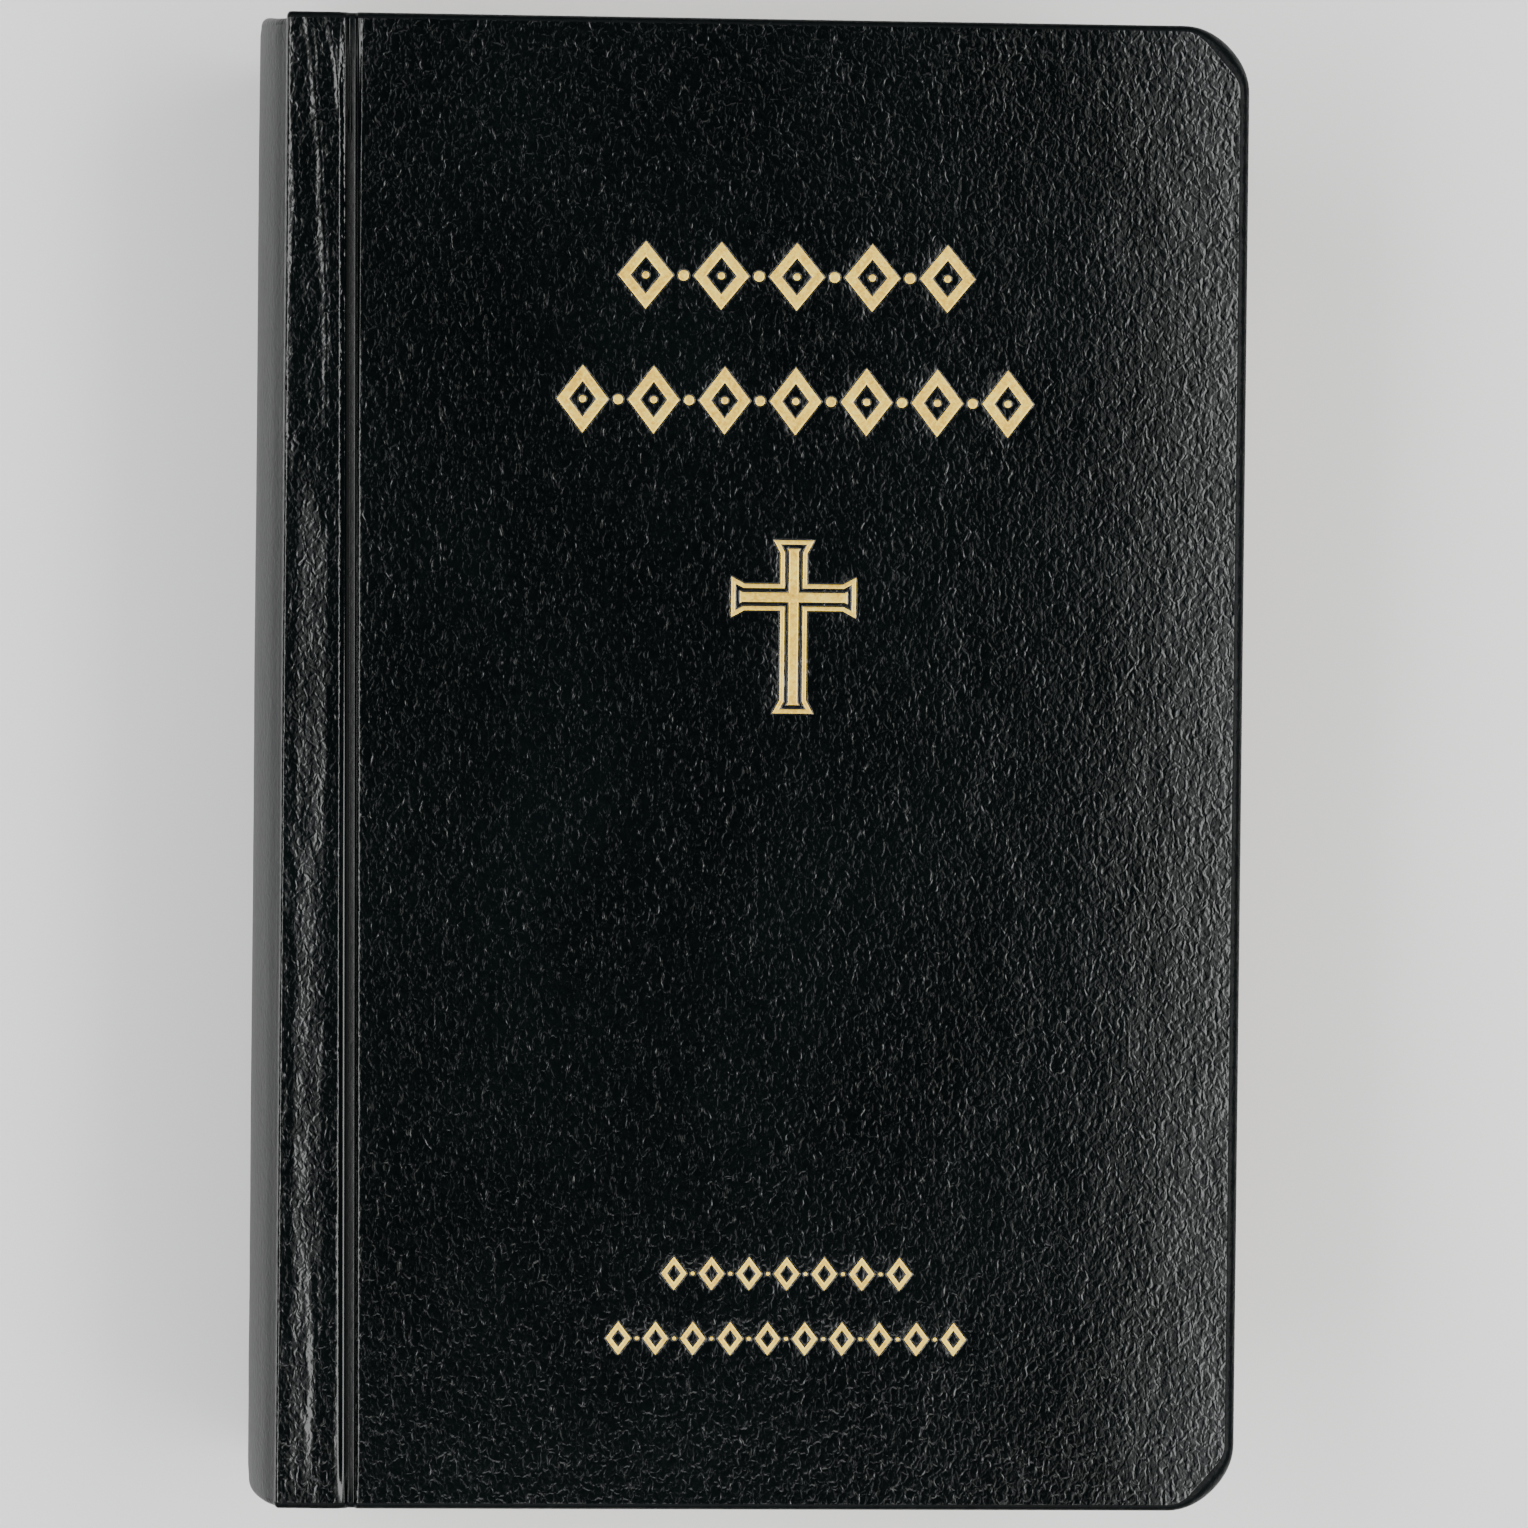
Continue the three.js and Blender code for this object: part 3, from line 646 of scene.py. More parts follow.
def case_leather(with_spine, rings=()):
    """One covering as a sheet: its points, faces, flat positions, and which faces get the duller material
    that paints shade.

    A section runs over the spine and the joint, and a field over the board, with one turned-in edge."""
    section = case_section(with_spine)
    flat_s = np.concatenate([[0], np.cumsum(np.linalg.norm(np.diff(section, axis=0), axis=1))])
    flat_s -= flat_s[np.argmax((section[:, 0] > SHOULDER_X + 0.05) & (section[:, 1] > TOP / 2))]
    inward = inward_direction(section)
    depth = covering_depth(section)
    reach = HALF_HEIGHT - ROLL
    rows = np.linspace(GUARD - reach, reach - GUARD, round(2 * reach / ROW_STEP) + 1)
    rows = np.concatenate([[-reach], rows, [reach]])
    columns = len(section)

    # The structured part: one column for each point of the section, one row for each step along the book.
    grid_x, grid_z = np.repeat(section, len(rows), axis=0).T
    grid_y = np.tile(rows, columns)
    grid_s = np.repeat(flat_s, len(rows))
    outward = -np.repeat(inward, len(rows), axis=0)
    skew = groove_skew(grid_x - SHOULDER_X, grid_y)
    on_round = grid_s < 0.3
    flat_x = np.where(on_round, SHOULDER_X + grid_s, grid_x + skew)
    move = case_displacement(flat_x, grid_y, with_spine) + spine_relief(grid_s, grid_y, with_spine)
    y = grid_y + head_cap(grid_s, grid_y, with_spine)
    vertices = np.column_stack([grid_x + skew + outward[:, 0] * move, y, grid_z + outward[:, 1] * move])
    uv = np.column_stack([grid_s + skew, grid_y])
    corners = [c * len(rows) + r for c in range(columns - 1) for r in range(len(rows) - 1)]
    faces = [(a, a + len(rows), a + len(rows) + 1, a + 1) for a in corners]

    # The field over the board joins on at the last column.
    last = (columns - 1) * len(rows)
    left_column = vertices[last:, :2].copy()
    outline, outs, rolls = corner_outline(FIELD_STEP, left_column[-1, 0], left_column[0, 0])
    points, heights, triangles = board_field(left_column, outline, outline - outs * GUARD, rings)
    field = points[len(rows):]
    field_z = TOP + heights[len(rows):] + case_displacement(field[:, 0], field[:, 1], with_spine)
    first = len(vertices)
    vertices = np.vstack([vertices, np.column_stack([field, field_z])])
    uv = np.vstack([uv, np.column_stack([flat_s[-1] + field[:, 0] - section[-1, 0], field[:, 1]])])
    for triangle in triangles:
        faces.append([last + i if i < len(rows) else first + i - len(rows) for i in triangle])

    # The chain along the edges: head of the section, outline round the board, tail of the section.
    head = [c * len(rows) + len(rows) - 1 for c in range(columns)]
    tail = [c * len(rows) for c in reversed(range(columns))]
    chain = head + [first + i for i in range(len(outline))] + tail
    ends, zeros = np.tile((0, 1), (columns, 1)), np.zeros(len(chain))
    out = np.column_stack([np.vstack([ends, outs, -ends]), zeros])
    down = np.tile((0.0, -1.0), (len(outline), 1))
    into = np.vstack([inward, down, inward[::-1]])
    into = np.column_stack([into[:, 0], zeros, into[:, 1]])
    depth = np.concatenate([depth, np.full(len(outline), BOARD_DEPTH), depth[::-1]])
    roll = np.concatenate([np.full(columns, ROLL), rolls, np.full(columns, ROLL)])
    rolled = range(len(faces), len(faces) + ROLLED_RINGS * (len(chain) - 1))
    vertices, uv = turn_over(vertices, uv, faces, chain, out, into, depth, roll)
    # Painted shade: the faces under the shoulder and those of the rolled edges get the duller, less
    # reflective material, to darken them as shade would.
    seam = [c for c in range(columns - 1) if -SEAM_WIDTH < flat_s[c] < -0.05]
    dulled_for_shade = [c * (len(rows) - 1) + r for c in seam for r in range(len(rows) - 1)] + list(rolled)
    return vertices, faces, uv, dulled_for_shade


def turn_over(vertices, uv, faces, chain, out, into, depth, roll):
    """Adds the rolled edge and the turn-in along a chain of points, given its directions out and in."""
    base, base_uv = vertices[chain], uv[chain]
    travelled = np.zeros(len(chain))
    last_offset = np.zeros((len(chain), 2))
    previous = chain
    for out_share, out_move, in_share, in_move, depth_share in edge_profile():
        outwards = roll * out_share + out_move
        inwards = np.minimum(roll, depth - INNER_ROLL - 0.05) * in_share + in_move
        inwards += (depth - INNER_ROLL) * depth_share
        offset = np.column_stack([outwards, inwards])
        travelled += np.linalg.norm(offset - last_offset, axis=1)
        last_offset = offset
        following = range(len(vertices), len(vertices) + len(chain))
        vertices = np.vstack([vertices, base + out * outwards[:, None] + into * inwards[:, None]])
        uv = np.vstack([uv, base_uv + out[:, :2] * travelled[:, None]])
        faces += zip(previous, previous[1:], following[1:], following)
        previous = following
    return vertices, uv


def spine_relief(flat_s, y, worn):
    """The round of the spine draws in at its ends, and has a small fold by the shoulder at the head."""
    on_round = 1 - smoothstep(-0.8, 0.0, flat_s)
    ends = near_end(y, HEAD_DRAW_LENGTH) ** 2 + near_end(-y, TAIL_DRAW_LENGTH) ** 2
    drawn = SPINE_END_DRAW * on_round * ends
    if not worn:
        return -drawn
    along = HALF_HEIGHT - y
    fold = FOLD_HEIGHT * np.exp(-((flat_s - FOLD_START - FOLD_SLANT * along) / FOLD_WIDTH) ** 2)
    fold *= 1 - smoothstep(1.2, 3.2, along)
    pinch = PINCH * np.exp(-((flat_s - PINCH_PLACE) / PINCH_WIDTH) ** 2)
    return fold - pinch - drawn


def head_cap(flat_s, y, worn):
    """At its head the spine's covering starts lower than the covers, and rises again over its middle."""
    if not worn:
        return 0 * y
    middle = SPINE_RADIUS * math.asin((TOP / 2 - SPINE_END) / SPINE_RADIUS)
    share = np.clip(-flat_s / middle, 0, 2)
    rise = smoothstep(0.0, 0.85, np.minimum(share, 2 - share))
    lift = CAP_RISE * rise - CAP_DROP * smoothstep(0.0, 0.35, -flat_s)
    return lift * near_end(y, CAP_LENGTH) ** 2


ROLLED_RINGS = 7       # how many of the rings below show from outside


def edge_profile():
    """Rings of a rolled edge.

    Each is: outwards, a share of the roll and a move; inwards, the same and a share of the depth."""
    for t in np.linspace(0, math.pi / 2, 7)[1:]:
        yield math.sin(t), 0.0, 1 - math.cos(t), 0.0, 0.0
    yield 1.0, 0.0, 0.0, 0.0, 1.0
    for t in np.linspace(0, math.pi / 2, 4)[1:]:
        yield 1.0, -INNER_ROLL * (1 - math.cos(t)), 0.0, INNER_ROLL * math.sin(t), 1.0
    for width in (2.2, TURN_IN):
        yield 1.0, -width, 0.0, INNER_ROLL, 1.0


# ---- foil
LOOP_STEP = 0.8       # longest side of the foil's outlines
DISC_SIDES = 14
# How far inside the foil's outline, and how high: the dent, then the foil above the dent's floor.
DENT_PROFILE = [(-0.16, 0.0), (-0.08, -0.015), (0.01, -FOIL_DEPTH)]
FOIL_PROFILE = [(0.02, -0.04), (0.02, 0.02), (0.16, 0.07)]
SMALL_BEAD = 0.3      # rows with larger beads than this also have a disc in the middle of each lozenge
CENTRE_DISC = 0.42    # its radius
BEAD_GAP, STROKE_GAP = 0.42, 0.45       # least gap beside a bead, and the gap as a share of the stroke
CROSS_STEM, CROSS_FLARE = 1.5, 2.3      # half widths of the cross's stem and of its ends
CROSS_ARM = 0.17      # how far above its middle the cross's arms lie, as a share of its height
CROSS_LINE, CROSS_CORE = 0.5, 0.95      # insets of the cross's open line and of its solid middle


def lozenge(x, y, half_width, half_height):
    return np.array([(x + half_width, y), (x, y + half_height), (x - half_width, y), (x, y - half_height)])


def disc(x, y, radius):
    angles = np.arange(DISC_SIDES) * 2 * math.pi / DISC_SIDES
    return np.column_stack([x + radius * np.cos(angles), y + radius * np.sin(angles)])


def offset_loop(loop, distance):
    """The loop with every side moved to its left by distance, and sharp corners kept."""
    loop = np.asarray(loop, float)
    before, after = np.roll(loop, 1, axis=0), np.roll(loop, -1, axis=0)
    result = []
    for p, q, r in zip(before, loop, after):
        d1 = (q - p) / np.linalg.norm(q - p)
        d2 = (r - q) / np.linalg.norm(r - q)
        n1, n2 = np.array([-d1[1], d1[0]]), np.array([-d2[1], d2[0]])
        bisector = n1 + n2
        result.append(q + bisector * distance / max(0.25, 1 + float(n1 @ n2)))
    return np.array(result)


def divided(loop, guide):
    """The loop, each side divided as the same side of the guide loop needs for LOOP_STEP."""
    result = []
    for p, q, start, end in zip(loop, np.roll(loop, -1, axis=0), guide, np.roll(guide, -1, axis=0)):
        count = max(1, math.ceil(np.linalg.norm(end - start) / LOOP_STEP))
        result += [p + (q - p) * i / count for i in range(count)]
    return np.array(result)


def node_plan(node):
    """Centre, width and height of a CAD foil piece, seen from above."""
    low, high = box_mm(node)
    return (low[0] + high[0]) / 2, (low[1] + high[1]) / 2, high[0] - low[0], high[1] - low[1]


def ornament_row(node, count, stroke, bead):
    """Open lozenges with beads between them: a list of shapes, each (outside, holes)."""
    x, y, width, height = node_plan(node)
    gap = max(BEAD_GAP, stroke * STROKE_GAP)
    half_w = (width - (count - 1) * 2 * (bead + gap)) / (2 * count)
    pitch = 2 * (half_w + bead + gap)
    shapes = []
    for i in range(count):
        cx = x - width / 2 + half_w + i * pitch
        outer = lozenge(cx, y, half_w, height / 2)
        hole = offset_loop(outer, stroke)[::-1]
        shapes.append((outer, [hole]))
        if bead > SMALL_BEAD:
            shapes.append((disc(cx, y, CENTRE_DISC), []))
        if i < count - 1:
            shapes.append((disc(cx + pitch / 2, y, bead), []))
    return shapes


def cross_shapes():
    """A Latin cross with slightly widened ends: an open line round a solid middle."""
    x, y, width, height = node_plan("foil_cross")
    stem, flare, arm = CROSS_STEM, CROSS_FLARE, height * CROSS_ARM
    right = [
        (flare, -height / 2), (stem, -height / 2 + stem), (stem, arm - stem),
        (width / 2 - stem, arm - stem), (width / 2, arm - flare), (width / 2, arm + flare),
        (width / 2 - stem, arm + stem), (stem, arm + stem), (stem, height / 2 - stem), (flare, height / 2),
    ]
    left = [(-a, b) for a, b in reversed(right)]
    outer = np.array([(x + a, y + b) for a, b in right + left])
    return [(outer, [offset_loop(outer, CROSS_LINE)[::-1]]), (offset_loop(outer, CROSS_CORE), [])]


def pressed_rings(shapes):
    """Loops of the dents that the foil lies in: flat guard, brim and floor of each side of each shape."""
    rings = []
    for outer, holes in shapes:
        for loop in [outer, *holes]:
            for inset, height in DENT_PROFILE:
                edge = offset_loop(loop, inset)
                rings.append((divided(edge, edge), height))
    return rings


def foil_piece(name, shapes):
    """The foil of one ornament, as a thin closed plate with softened edges."""
    vertices, faces = [], []
    for outer, holes in shapes:
        loops = [outer, *holes]
        starts = []
        for inset, height in FOIL_PROFILE:
            for loop in loops:
                path = divided(offset_loop(loop, inset), loop)
                starts.append((len(vertices), len(path)))
                lift = case_displacement(path[:, 0], path[:, 1], True)
                vertices += np.column_stack([path, TOP - FOIL_DEPTH + height + lift]).tolist()
        for (low, count), (high, _) in zip(starts, starts[len(loops):]):
            faces += loop_quads(low, high, count)
        faces += cap_faces(vertices, starts[:len(loops)], True)
        faces += cap_faces(vertices, starts[-len(loops):], False)
    return make_mesh(name, vertices, faces, [FOIL], smooth=False)


def cap_faces(vertices, loops, flip):
    """Triangles that fill an outside loop with its holes."""
    index, points, edges, spans = [], [], [], []
    for start, count in loops:
        first = len(points)
        spans.append((first, count))
        index += range(start, start + count)
        points += [Vector(vertices[start + i][:2]) for i in range(count)]
        edges += loop_edges(first, count)
    result = []
    for face in triangulated(points, edges):
        middle = sum((points[i] for i in face), Vector((0, 0))) / len(face)
        if sum(is_inside(middle, points[first:first + count]) for first, count in spans) % 2:
            triangle = [index[i] for i in face]
            result.append(triangle[::-1] if flip else triangle)
    return result


def is_inside(point, loop):
    inside = False
    for a, b in zip(loop, loop[1:] + loop[:1]):
        if (a.y > point.y) != (b.y > point.y):
            inside ^= point.x < a.x + (point.y - a.y) / (b.y - a.y) * (b.x - a.x)
    return inside


# ---- build: the case
LEATHERETTE = leatherette_material("leatherette", smooth_joint=True)
# Painted shade: a duller copy of the leatherette with little specular, put where the covering should look
# shaded.
SHADE_LEATHERETTE = leatherette_material("leatherette_painted_shade", specular=0.10, dulled_for_shade=0.25)
FOIL = foil_material()
ENDPAPER = paper_material("endpaper_sheet", (0.80, 0.76, 0.66), (0.72, 0.67, 0.56))
CARD = paper_material("grey_board", (0.32, 0.30, 0.26), (0.22, 0.20, 0.17), 900.0, 0.6)
KRAFT = paper_material("kraft_lining", (0.48, 0.36, 0.22), (0.38, 0.28, 0.16))
PAGE_EDGES = page_edge_material()
MULL = woven_material("mull_cloth", (0.78, 0.75, 0.66), (0.45, 0.42, 0.35), 1.2)
THREAD = woven_material("linen_thread", (0.82, 0.79, 0.70), (0.52, 0.48, 0.40), 5.0)

# CAD node: name, number of lozenges, width of their stroke, radius of the beads.
FOIL_ROWS = {
    "foil_title_upper": ("foil_row_upper", 5, 1.1, 0.62),
    "foil_title_lower": ("foil_row_lower", 7, 1.1, 0.58),
    "foil_foot_upper": ("foil_foot_row_upper", 7, 0.55, 0.24),
    "foil_foot_lower": ("foil_foot_row_lower", 10, 0.55, 0.24),
}


def leather_piece(name, vertices, faces, uv, dulled_for_shade):
    """A covering with its thickness, and with the duller material that paints shade on the given faces."""
    piece = make_mesh(name, vertices, faces, [LEATHERETTE, SHADE_LEATHERETTE], uv)
    for index in dulled_for_shade:
        piece.data.polygons[index].material_index = 1
    return thicken(piece, LEATHER)


def build_case():
    ornaments = {node: ornament_row(node, *settings) for node, (_, *settings) in FOIL_ROWS.items()}
    ornaments["foil_cross"] = cross_shapes()
    rings = [ring for shapes in ornaments.values() for ring in pressed_rings(shapes)]

    front = leather_piece("front_and_spine_leather", *case_leather(True, rings))
    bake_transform(front)
    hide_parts("front_covering", "spine_covering")

    vertices, faces, uv, dulled_for_shade = case_leather(False)
    vertices[:, 2] = TOP - vertices[:, 2]
    back = leather_piece("back_leather", vertices, [face[::-1] for face in faces], uv, dulled_for_shade)
    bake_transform(back)
    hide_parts("back_covering")

    for node, shapes in ornaments.items():
        name = FOIL_ROWS[node][0] if node in FOIL_ROWS else "foil_latin_cross"
        piece = foil_piece(name, shapes)
        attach(piece, "front_cover")
        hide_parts(node)


build_case()


# ---- boards, endpapers and leaves
SHEET_CORNER = 6.0      # radius of the leaves' fore-edge corners
BOARD_CORNER = CORNER - 0.55
ENDPAPER_THICK = 0.14
LEAF_THICK = 0.09
PASTE_GAP = 0.02        # between paper and what it is glued to
HINGE_LEFT = -46.6      # where the endpapers' hinge is glued to the block's shoulder
HINGE_FINE = -41.0      # the pastedowns' points are close together up to here
TURN_IN_STEP = 0.24     # how much higher a pastedown lies on the turned-in leather
TURN_IN_FADE = (-43.0, -41.5)     # where that step ends beside the joint

BOARD_OUTER_GAP, BOARD_CHAMFER = 0.12, 1.0
BOARD_OUTLINE_STEP, BOARD_FIELD_STEP = 6.0, 8.0

SHEET_ROWS = 60
SHEET_FINE, SHEET_STEP, SHEET_ROW_STEP = 0.4, 1.6, 1.9    # spacing of a sheet's points
LEAF_FINE = 7.0
LEAF_WAVE = 0.02
FRONT_LEDGE, BACK_LEDGE = 34.65, 3.25   # heights of the block's outer leaves beside the joints


def sheet_outline(left, right, reach, corner, step):
    """The outline of a sheet in plan, anticlockwise; left is its spine side, from head to tail."""
    arc = np.linspace(-math.pi / 2, 0, 11)
    centre = (right - corner, corner - reach)
    tail_corner = centre + corner * np.column_stack([np.cos(arc), np.sin(arc)])
    pieces = [left, tail_corner, (tail_corner * (1, -1))[::-1]]
    outline = []
    for piece, following in zip(pieces, pieces[1:] + pieces[:1]):
        start, end = piece[-1], following[0]
        count = max(2, round(np.linalg.norm(end - start) / step))
        outline += [piece, start + (end - start) * (np.arange(1, count) / count)[:, None]]
    return np.vstack(outline)


def filled(outline, xs, ys, clear):
    """Triangles over an outline in plan, with points where the lines at xs and ys cross well inside it."""
    right, reach = outline[:, 0].max(), outline[:, 1].max()
    corner = max(SHEET_CORNER, BOARD_CORNER)
    inner = np.array([(x, y) for x in xs for y in ys])
    inner = inner[depth_inside(inner[:, 0], inner[:, 1], right, reach, corner) > clear]
    inner = inner[inner[:, 0] > outline[:, 0].min() + clear]
    points = np.vstack([outline, inner])
    return points, triangulated(points, loop_edges(0, len(outline)))


def board_piece(name, node, body):
    """A cover board. Its spine side follows the slightly skewed groove."""
    low, high = box_mm(node)
    ys = np.linspace(high[1], -high[1], 30)
    left = np.column_stack([low[0] + 0.2 + groove_skew(low[0] - SHOULDER_X, ys), ys])
    outline = sheet_outline(left, high[0], high[1], BOARD_CORNER, BOARD_OUTLINE_STEP)
    xs = np.arange(low[0] + BOARD_FIELD_STEP, high[0], BOARD_FIELD_STEP)
    points, triangles = filled(outline, xs, np.arange(-78.0, 79.0, BOARD_FIELD_STEP), 3.0)
    narrowed = points.copy()
    narrowed[:len(outline)] = offset_loop(outline, BOARD_CHAMFER)
    if low[2] > TOP / 2:
        levels = [(points, low[2]), (points, high[2] - BOARD_CHAMFER), (narrowed, high[2] - BOARD_OUTER_GAP)]
    else:
        levels = [(narrowed, low[2] + BOARD_OUTER_GAP), (points, low[2] + BOARD_CHAMFER), (points, high[2])]
    n, rim = len(points), len(outline)
    vertices = np.vstack([np.column_stack([plan, np.full(n, z)]) for plan, z in levels])
    faces = [t[::-1] for t in triangles] + [[i + 2 * n for i in t] for t in triangles]
    faces += loop_quads(0, n, rim) + loop_quads(n, 2 * n, rim)
    piece = make_mesh(name, vertices, faces, [CARD], smooth=False)
    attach(piece, body)
    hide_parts(node)


def bendable_sheet(name, material, left_x, height, thickness, upwards, fine_until):
    """A sheet of paper over the block's plan. height(x, y) is its lower or upper face."""
    ys = np.linspace(BLOCK_HALF_HEIGHT, -BLOCK_HALF_HEIGHT, SHEET_ROWS)
    left = np.column_stack([np.full(len(ys), left_x), ys])
    outline = sheet_outline(left, LEAF_END, BLOCK_HALF_HEIGHT, SHEET_CORNER, SHEET_STEP)
    xs = np.concatenate([np.arange(left_x + SHEET_FINE, fine_until, SHEET_FINE),
                         np.arange(fine_until + SHEET_STEP / 2, LEAF_END, SHEET_STEP)])
    points, faces = filled(outline, xs, np.arange(-78.6, 79.0, SHEET_ROW_STEP), 0.5)
    z = height(points[:, 0], points[:, 1])
    if not upwards:
        faces = [face[::-1] for face in faces]
    return thicken(make_mesh(name, np.column_stack([points, z]), faces, [material]), thickness)


def turn_in_step(x, y):
    """0 where a pastedown lies over the turned-in leather, 1 where it lies on the board."""
    wobble = 0.25 * wave(x, y, 11.0, 8.0)
    return smoothstep(2.4, 3.7, depth_inside(x, y, LEAF_END, BLOCK_HALF_HEIGHT, SHEET_CORNER) + wobble)


def pastedown(side, parent, child, inner, start_x, end_x):
    """The endpaper's half that is glued to a cover; it steps in height where the turn-in ends, fading out
    beside the joint.
    """
    at_back = side == "back"
    gap, step = (-PASTE_GAP, -TURN_IN_STEP) if at_back else (PASTE_GAP, TURN_IN_STEP)

    def height(x, y):
        return inner + gap + step * turn_in_step(x, y) * smoothstep(*TURN_IN_FADE, x)

    name = f"{side}_endpaper_board_side"
    piece = bendable_sheet(name, ENDPAPER, HINGE_LEFT, height, ENDPAPER_THICK, at_back, HINGE_FINE)
    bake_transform(piece)
    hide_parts(f"{side}_pastedown")


def leaf_piece(name, node, material, thickness, root, over_ledge=False):
    """A free leaf, with closer points over its first few millimetres; one that lies over the ledge is bent up
    at its root.
    """
    low, high = box_mm(node)
    hinge = low[0]
    middle = (low[2] + high[2]) / 2
    rise = FRONT_LEDGE + thickness + PASTE_GAP - middle if over_ledge else 0.0
    sign = 1 if middle > TOP / 2 else -1

    def height(x, y):
        lift = rise * (1 - smoothstep(hinge - 0.4, hinge + 0.6, x))
        return middle + sign * thickness / 2 + lift + LEAF_WAVE * wave(x, y, 30.0, middle)

    piece = bendable_sheet(name, material, root, height, thickness, sign > 0, hinge + LEAF_FINE)
    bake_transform(piece)
    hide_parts(node)


LEAVES_IN_SECTION = 9
LEAF_UNEVEN, LEAF_NOTCH = 0.05, 0.06    # how unevenly leaves end, and how far every other level lies back
FOLD_DEPTH = 0.55       # how far a section's fold is rounded
LEDGE_END = 80.4        # half the length of the ridge and the ledge beside it
BLOCK_SECTIONS = 16
BACK_ARC_DROP = 3.25    # how far behind the spine's outside the folded backs lie
FORE_HOLLOW = 3.0       # how deep the fore-edge is hollow, and how far from the covers that starts
FORE_HOLLOW_START = 3.4
BAND_RADIUS, BAND_STEP, BAND_SIDES = 0.78, 0.45, 12


def section_outline(left, right):
    """Plan of one leaf's cut edges, anticlockwise from the head of the fold."""
    left_side = np.array([(left, BLOCK_HALF_HEIGHT), (left, 0.0), (left, -BLOCK_HALF_HEIGHT)])
    return sheet_outline(left_side, right, BLOCK_HALF_HEIGHT, SHEET_CORNER, 26.0)


def section_piece(number):
    """A folded section: its leaves end a little unevenly, and its fold is rounded."""
    node = f"section_{number:02d}"
    low, high = box_mm(node)
    z0, z1 = low[2], high[2]
    if number == 1:
        z0 = BACK_LEDGE + 0.25
    if number == BLOCK_SECTIONS:
        z1 = FRONT_LEDGE - 1.02
    edges = np.linspace(z0, z1, LEAVES_IN_SECTION * 2 + 1)
    rings = []
    for level, z in enumerate(edges):
        share = (z - z0) / (z1 - z0)
        leaf = min(level // 2, LEAVES_IN_SECTION - 1)
        uneven = LEAF_UNEVEN * noise.noise(Vector((number * 3.7, leaf * 1.9, 0.5))) + LEAF_NOTCH * (level % 2)
        fold = FOLD_DEPTH * (1 - math.sqrt(max(0.0, 1 - (2 * share - 1) ** 2 * 0.95)))
        fore = fore_edge_x(z) - 0.05 - uneven
        outline = section_outline(back_x(z) + fold, fore)
        outline[:, 1] *= 1 - (0.03 + uneven * 0.5) / BLOCK_HALF_HEIGHT
        rings.append(np.column_stack([outline, np.full(len(outline), z)]))
    n = len(rings[0])
    vertices = np.vstack(rings)
    faces = [tuple(reversed(range(n))), tuple(range((len(rings) - 1) * n, len(rings) * n))]
    for first in range(0, (len(rings) - 1) * n, n):
        faces += loop_quads(first, first + n, n)
    if number in (1, BLOCK_SECTIONS):
        profile = shoulder_profile(number == 1)
        m, first = len(profile), len(vertices)
        for y in (-LEDGE_END, LEDGE_END):
            vertices = np.vstack([vertices, np.insert(profile, 1, y, axis=1)])
        faces += [tuple(range(first, first + m)), tuple(reversed(range(first + m, first + 2 * m)))]
        faces += loop_quads(first + m, first, m)
    piece = make_mesh(f"text_section_{number:02d}", vertices, faces, [PAGE_EDGES], smooth=False)
    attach(piece, "book_block")
    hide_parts(node)


def shoulder_profile(at_back):
    """Section of the ridge that backing gives the outer sections, and of the ledge beside it."""
    top, ledge, base = 36.75, FRONT_LEDGE - 0.01, FRONT_LEDGE - 1.0
    points = np.array([
        (-50.3, base), (-40.75, base), (-40.7, ledge - 0.06), (-40.8, ledge), (-46.5, ledge),
        (-46.9, ledge + 0.22), (-48.2, top - 0.3), (-48.6, top - 0.04), (-50.1, top), (-50.45, top - 0.3)])
    if at_back:
        points[:, 1] = TOP - points[:, 1]
        points = points[::-1]
    return points


def back_x(z):
    """Where the folded backs lie at a height: on an arc parallel to the spine."""
    radius = SPINE_RADIUS - BACK_ARC_DROP
    return SPINE_CENTRE[0] - math.sqrt(radius ** 2 - (z - SPINE_CENTRE[1]) ** 2)


def fore_edge_x(z):
    """The hollow fore-edge."""
    share = (z - TOP / 2) / (TOP / 2 - FORE_HOLLOW_START)
    return LEAF_END - FORE_HOLLOW * max(0.0, 1 - share ** 2)


def band_piece(name, node, y_sign):
    """A rolled band along the head or tail of the backs."""
    low, high = box_mm(node)
    path = spine_arc(low[2] + 0.1, high[2] - 0.1, BAND_STEP, SPINE_CENTRE[0] - low[0] - 0.8)
    centre_y = y_sign * (abs(low[1]) + abs(high[1])) / 2
    ring = BAND_SIDES
    tangents = np.gradient(path, axis=0)
    tangents /= np.linalg.norm(tangents, axis=1)[:, None]
    vertices, uv, faces = [], [], []
    for k, ((x, z), (tx, tz)) in enumerate(zip(path, tangents)):
        size = BAND_RADIUS * (0.55 + 0.45 * min(1.0, min(k, len(path) - 1 - k) / 2))
        for i in range(ring):
            angle = 2 * math.pi * i / ring
            across, up = size * math.cos(angle), size * math.sin(angle)
            vertices.append((x + tz * across, centre_y + up, z - tx * across))
            uv.append((k * BAND_STEP, angle * size))
    for first in range(0, (len(path) - 1) * ring, ring):
        faces += loop_quads(first, first + ring, ring)
    faces += [tuple(reversed(range(ring))), tuple(range((len(path) - 1) * ring, len(path) * ring))]
    piece = make_mesh(name, vertices, faces, [BAND], uv)
    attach(piece, "book_block")
    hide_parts(node)


BAND = band_material()
LEAF_PAPER = paper_material("leaf_paper", (0.86, 0.83, 0.75), (0.78, 0.75, 0.66), 1800.0, 0.2)

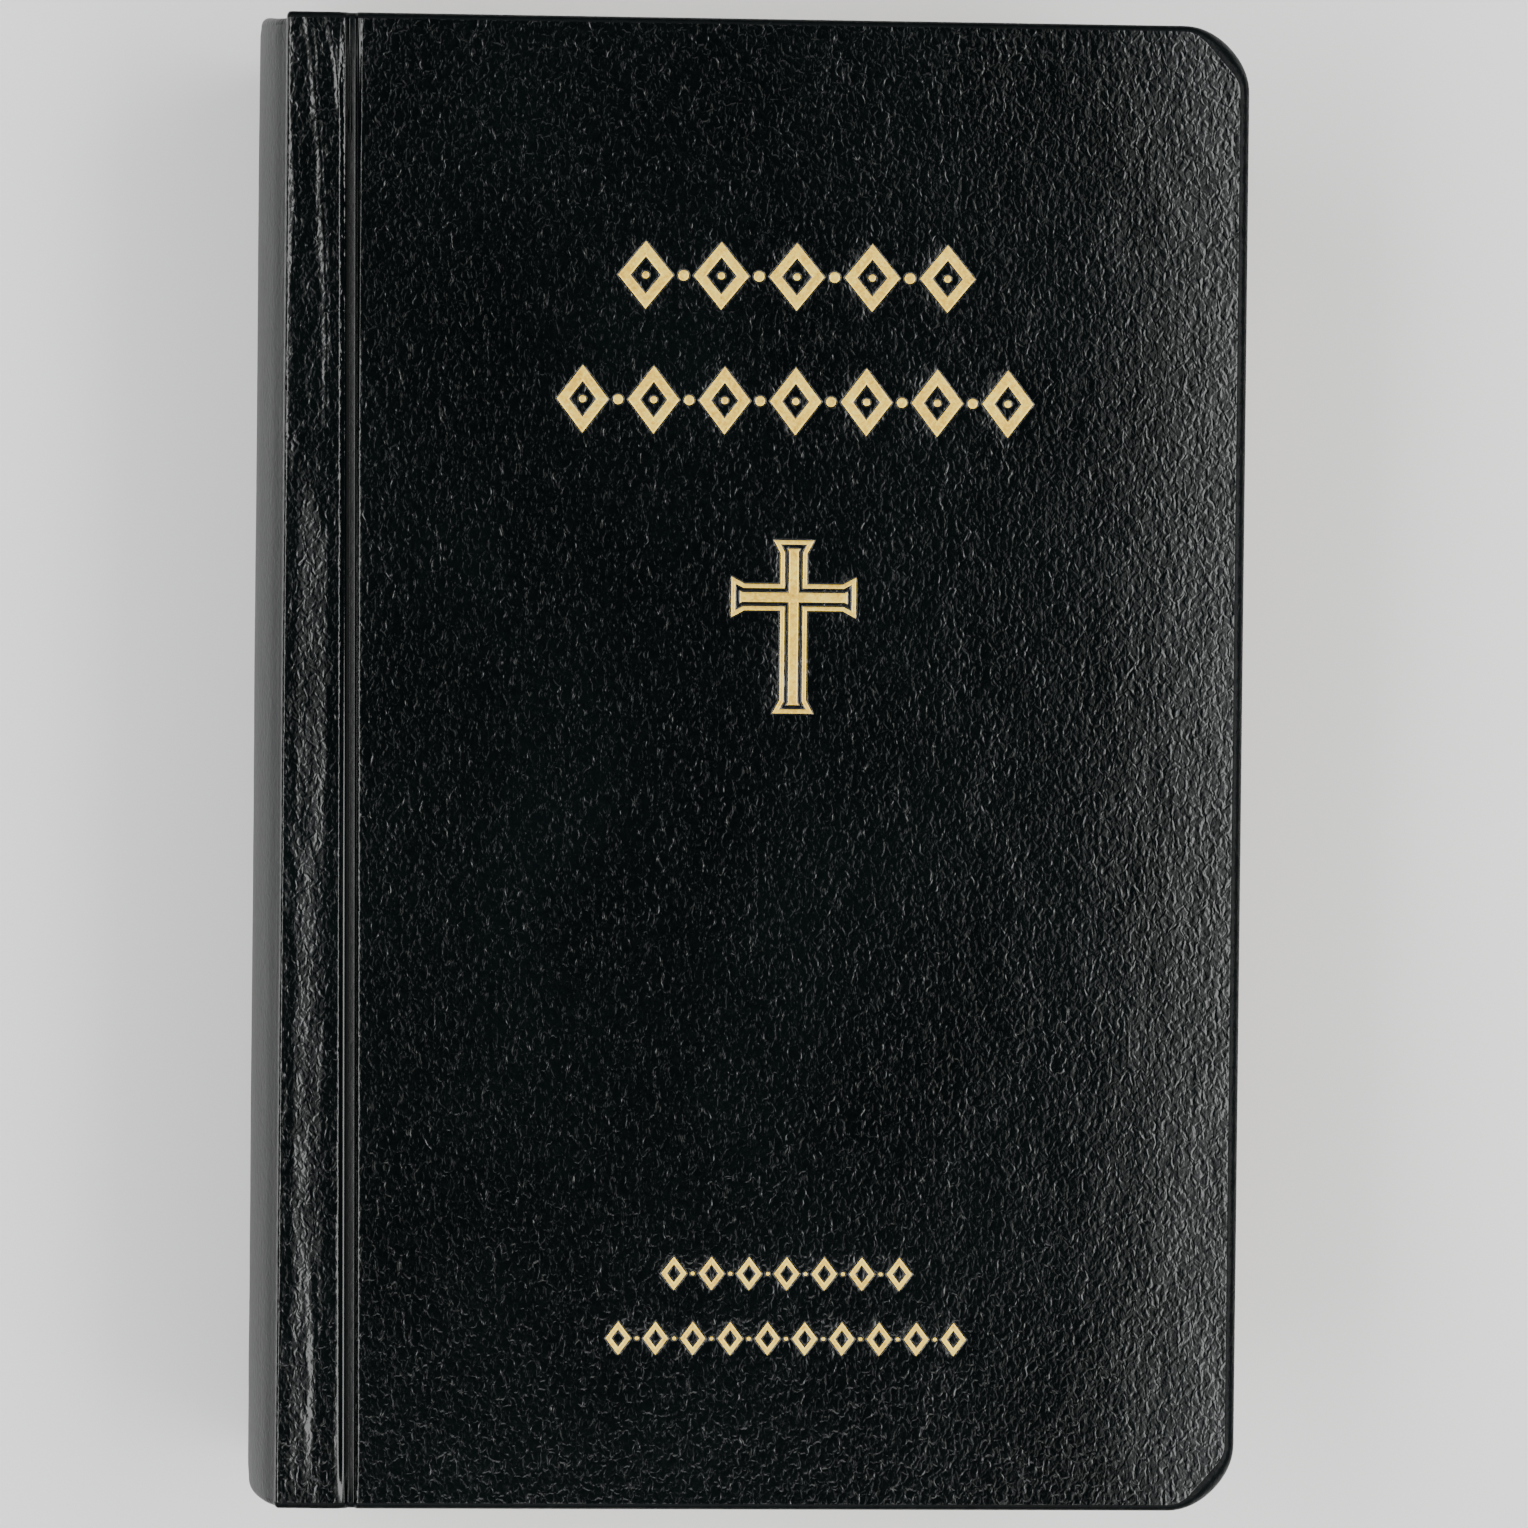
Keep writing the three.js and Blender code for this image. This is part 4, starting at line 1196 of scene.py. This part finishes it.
board_piece("front_board_card", "front_board", "front_cover")
board_piece("back_board_card", "back_board", "back_cover")
pastedown("front", "book_block", "front_cover", FRONT_INNER, *FRONT_BEND)
pastedown("back", "back_cover", "book_block", BACK_INNER, -44.6, HINGE_LEFT + 0.1)
leaf_piece("front_endpaper_free", "front_flyleaf", ENDPAPER, ENDPAPER_THICK,
           HINGE_LEFT, over_ledge=True)
for leaf in (1, 2, 3):
    leaf_piece(f"free_leaf_{leaf}", f"front_leaf_{leaf}", LEAF_PAPER, LEAF_THICK,
               box_mm(f"front_leaf_{leaf}")[0][0])
leaf_piece("back_endpaper_free", "back_flyleaf", ENDPAPER, ENDPAPER_THICK,
           box_mm("back_flyleaf")[0][0])
for section in range(1, BLOCK_SECTIONS + 1):
    section_piece(section)
band_piece("headband_roll", "headband", 1)
band_piece("tailband_roll", "tailband", -1)


# ---- CAD nodes that stay
def dress(material, *nodes):
    for node in nodes:
        mesh = frame["nodes"][node].data
        mesh.materials.clear()
        mesh.materials.append(material)


dress(CARD, "spine_stiffener")
dress(KRAFT, "spine_lining")
dress(MULL, "spine_mull")
dress(THREAD, *[n for n in frame["nodes"] if n.startswith("sewing_thread")])


# ---- floor, light and camera
def area_light(name, location, size, power):
    """A rectangular softbox that faces straight down."""
    data = bpy.data.lights.new(name, "AREA")
    data.shape = "RECTANGLE"
    data.size, data.size_y = size
    data.energy = power
    lamp = bpy.data.objects.new(name, data)
    placed(lamp).location = location


# Overhead panels: name, near and far edges, length, and radiance on the left and right, or tail and head.
LIGHT_HEIGHT = 1.0
LIGHT_STRIPS = [
    ("window", 0.20, 0.33, 1.4, 0.6, 0.7),
    ("window", 0.33, 0.48, 1.4, 1.5, 1.9),
    ("window", 0.48, 1.10, 1.4, 6.9, 7.3),
    ("fill", 0.40, 1.30, 1.5, 2.6, 0.9),
]
FLOOR_REACH = 6.0
ROOM_COLOUR, ROOM_STRENGTH = (0.9, 0.95, 1.0, 1), 0.02


def set_stage():
    mesh = bpy.data.meshes.new("floor")
    corners = FLOOR_REACH * np.array([(-1, -1, 0), (1, -1, 0), (1, 1, 0), (-1, 1, 0)])
    mesh.from_pydata(corners.tolist(), [], [(0, 1, 2, 3)])
    mesh.materials.append(floor_material())
    placed(bpy.data.objects.new("floor", mesh))

    world = bpy.data.worlds.new("room")
    world.use_nodes = True
    colour, strength = world.node_tree.nodes["Background"].inputs[:2]
    colour.default_value, strength.default_value = ROOM_COLOUR, ROOM_STRENGTH
    bpy.context.scene.world = world

    for name, near, far, length, *radiances in LIGHT_STRIPS:
        middle = (near + far) / 2
        for side, radiance in zip((-1, 1), radiances):
            power = radiance * math.pi * (far - near) * length
            if name == "window":
                area_light(f"{name}_{side}", (side * middle, 0, LIGHT_HEIGHT), (far - near, length), power)
            else:
                area_light(f"{name}_{side}", (0, side * middle, LIGHT_HEIGHT), (length, far - near), power)


# Found from where the corners of the cover and the spine lie in the photo.
CAMERA_PLACE = (-0.0224, 0.00868, 0.580)
CAMERA_TURN = (-0.01601, -0.04485, 0.01024)
CAMERA_LENS, CAMERA_SENSOR = 114.3, 36


def set_camera():
    data = bpy.data.cameras.new("camera")
    data.lens = CAMERA_LENS
    data.sensor_width = CAMERA_SENSOR
    camera = placed(bpy.data.objects.new("camera", data))
    camera.location = CAMERA_PLACE
    camera.rotation_euler = Euler(CAMERA_TURN)
    bpy.context.scene.camera = camera


set_stage()
set_camera()
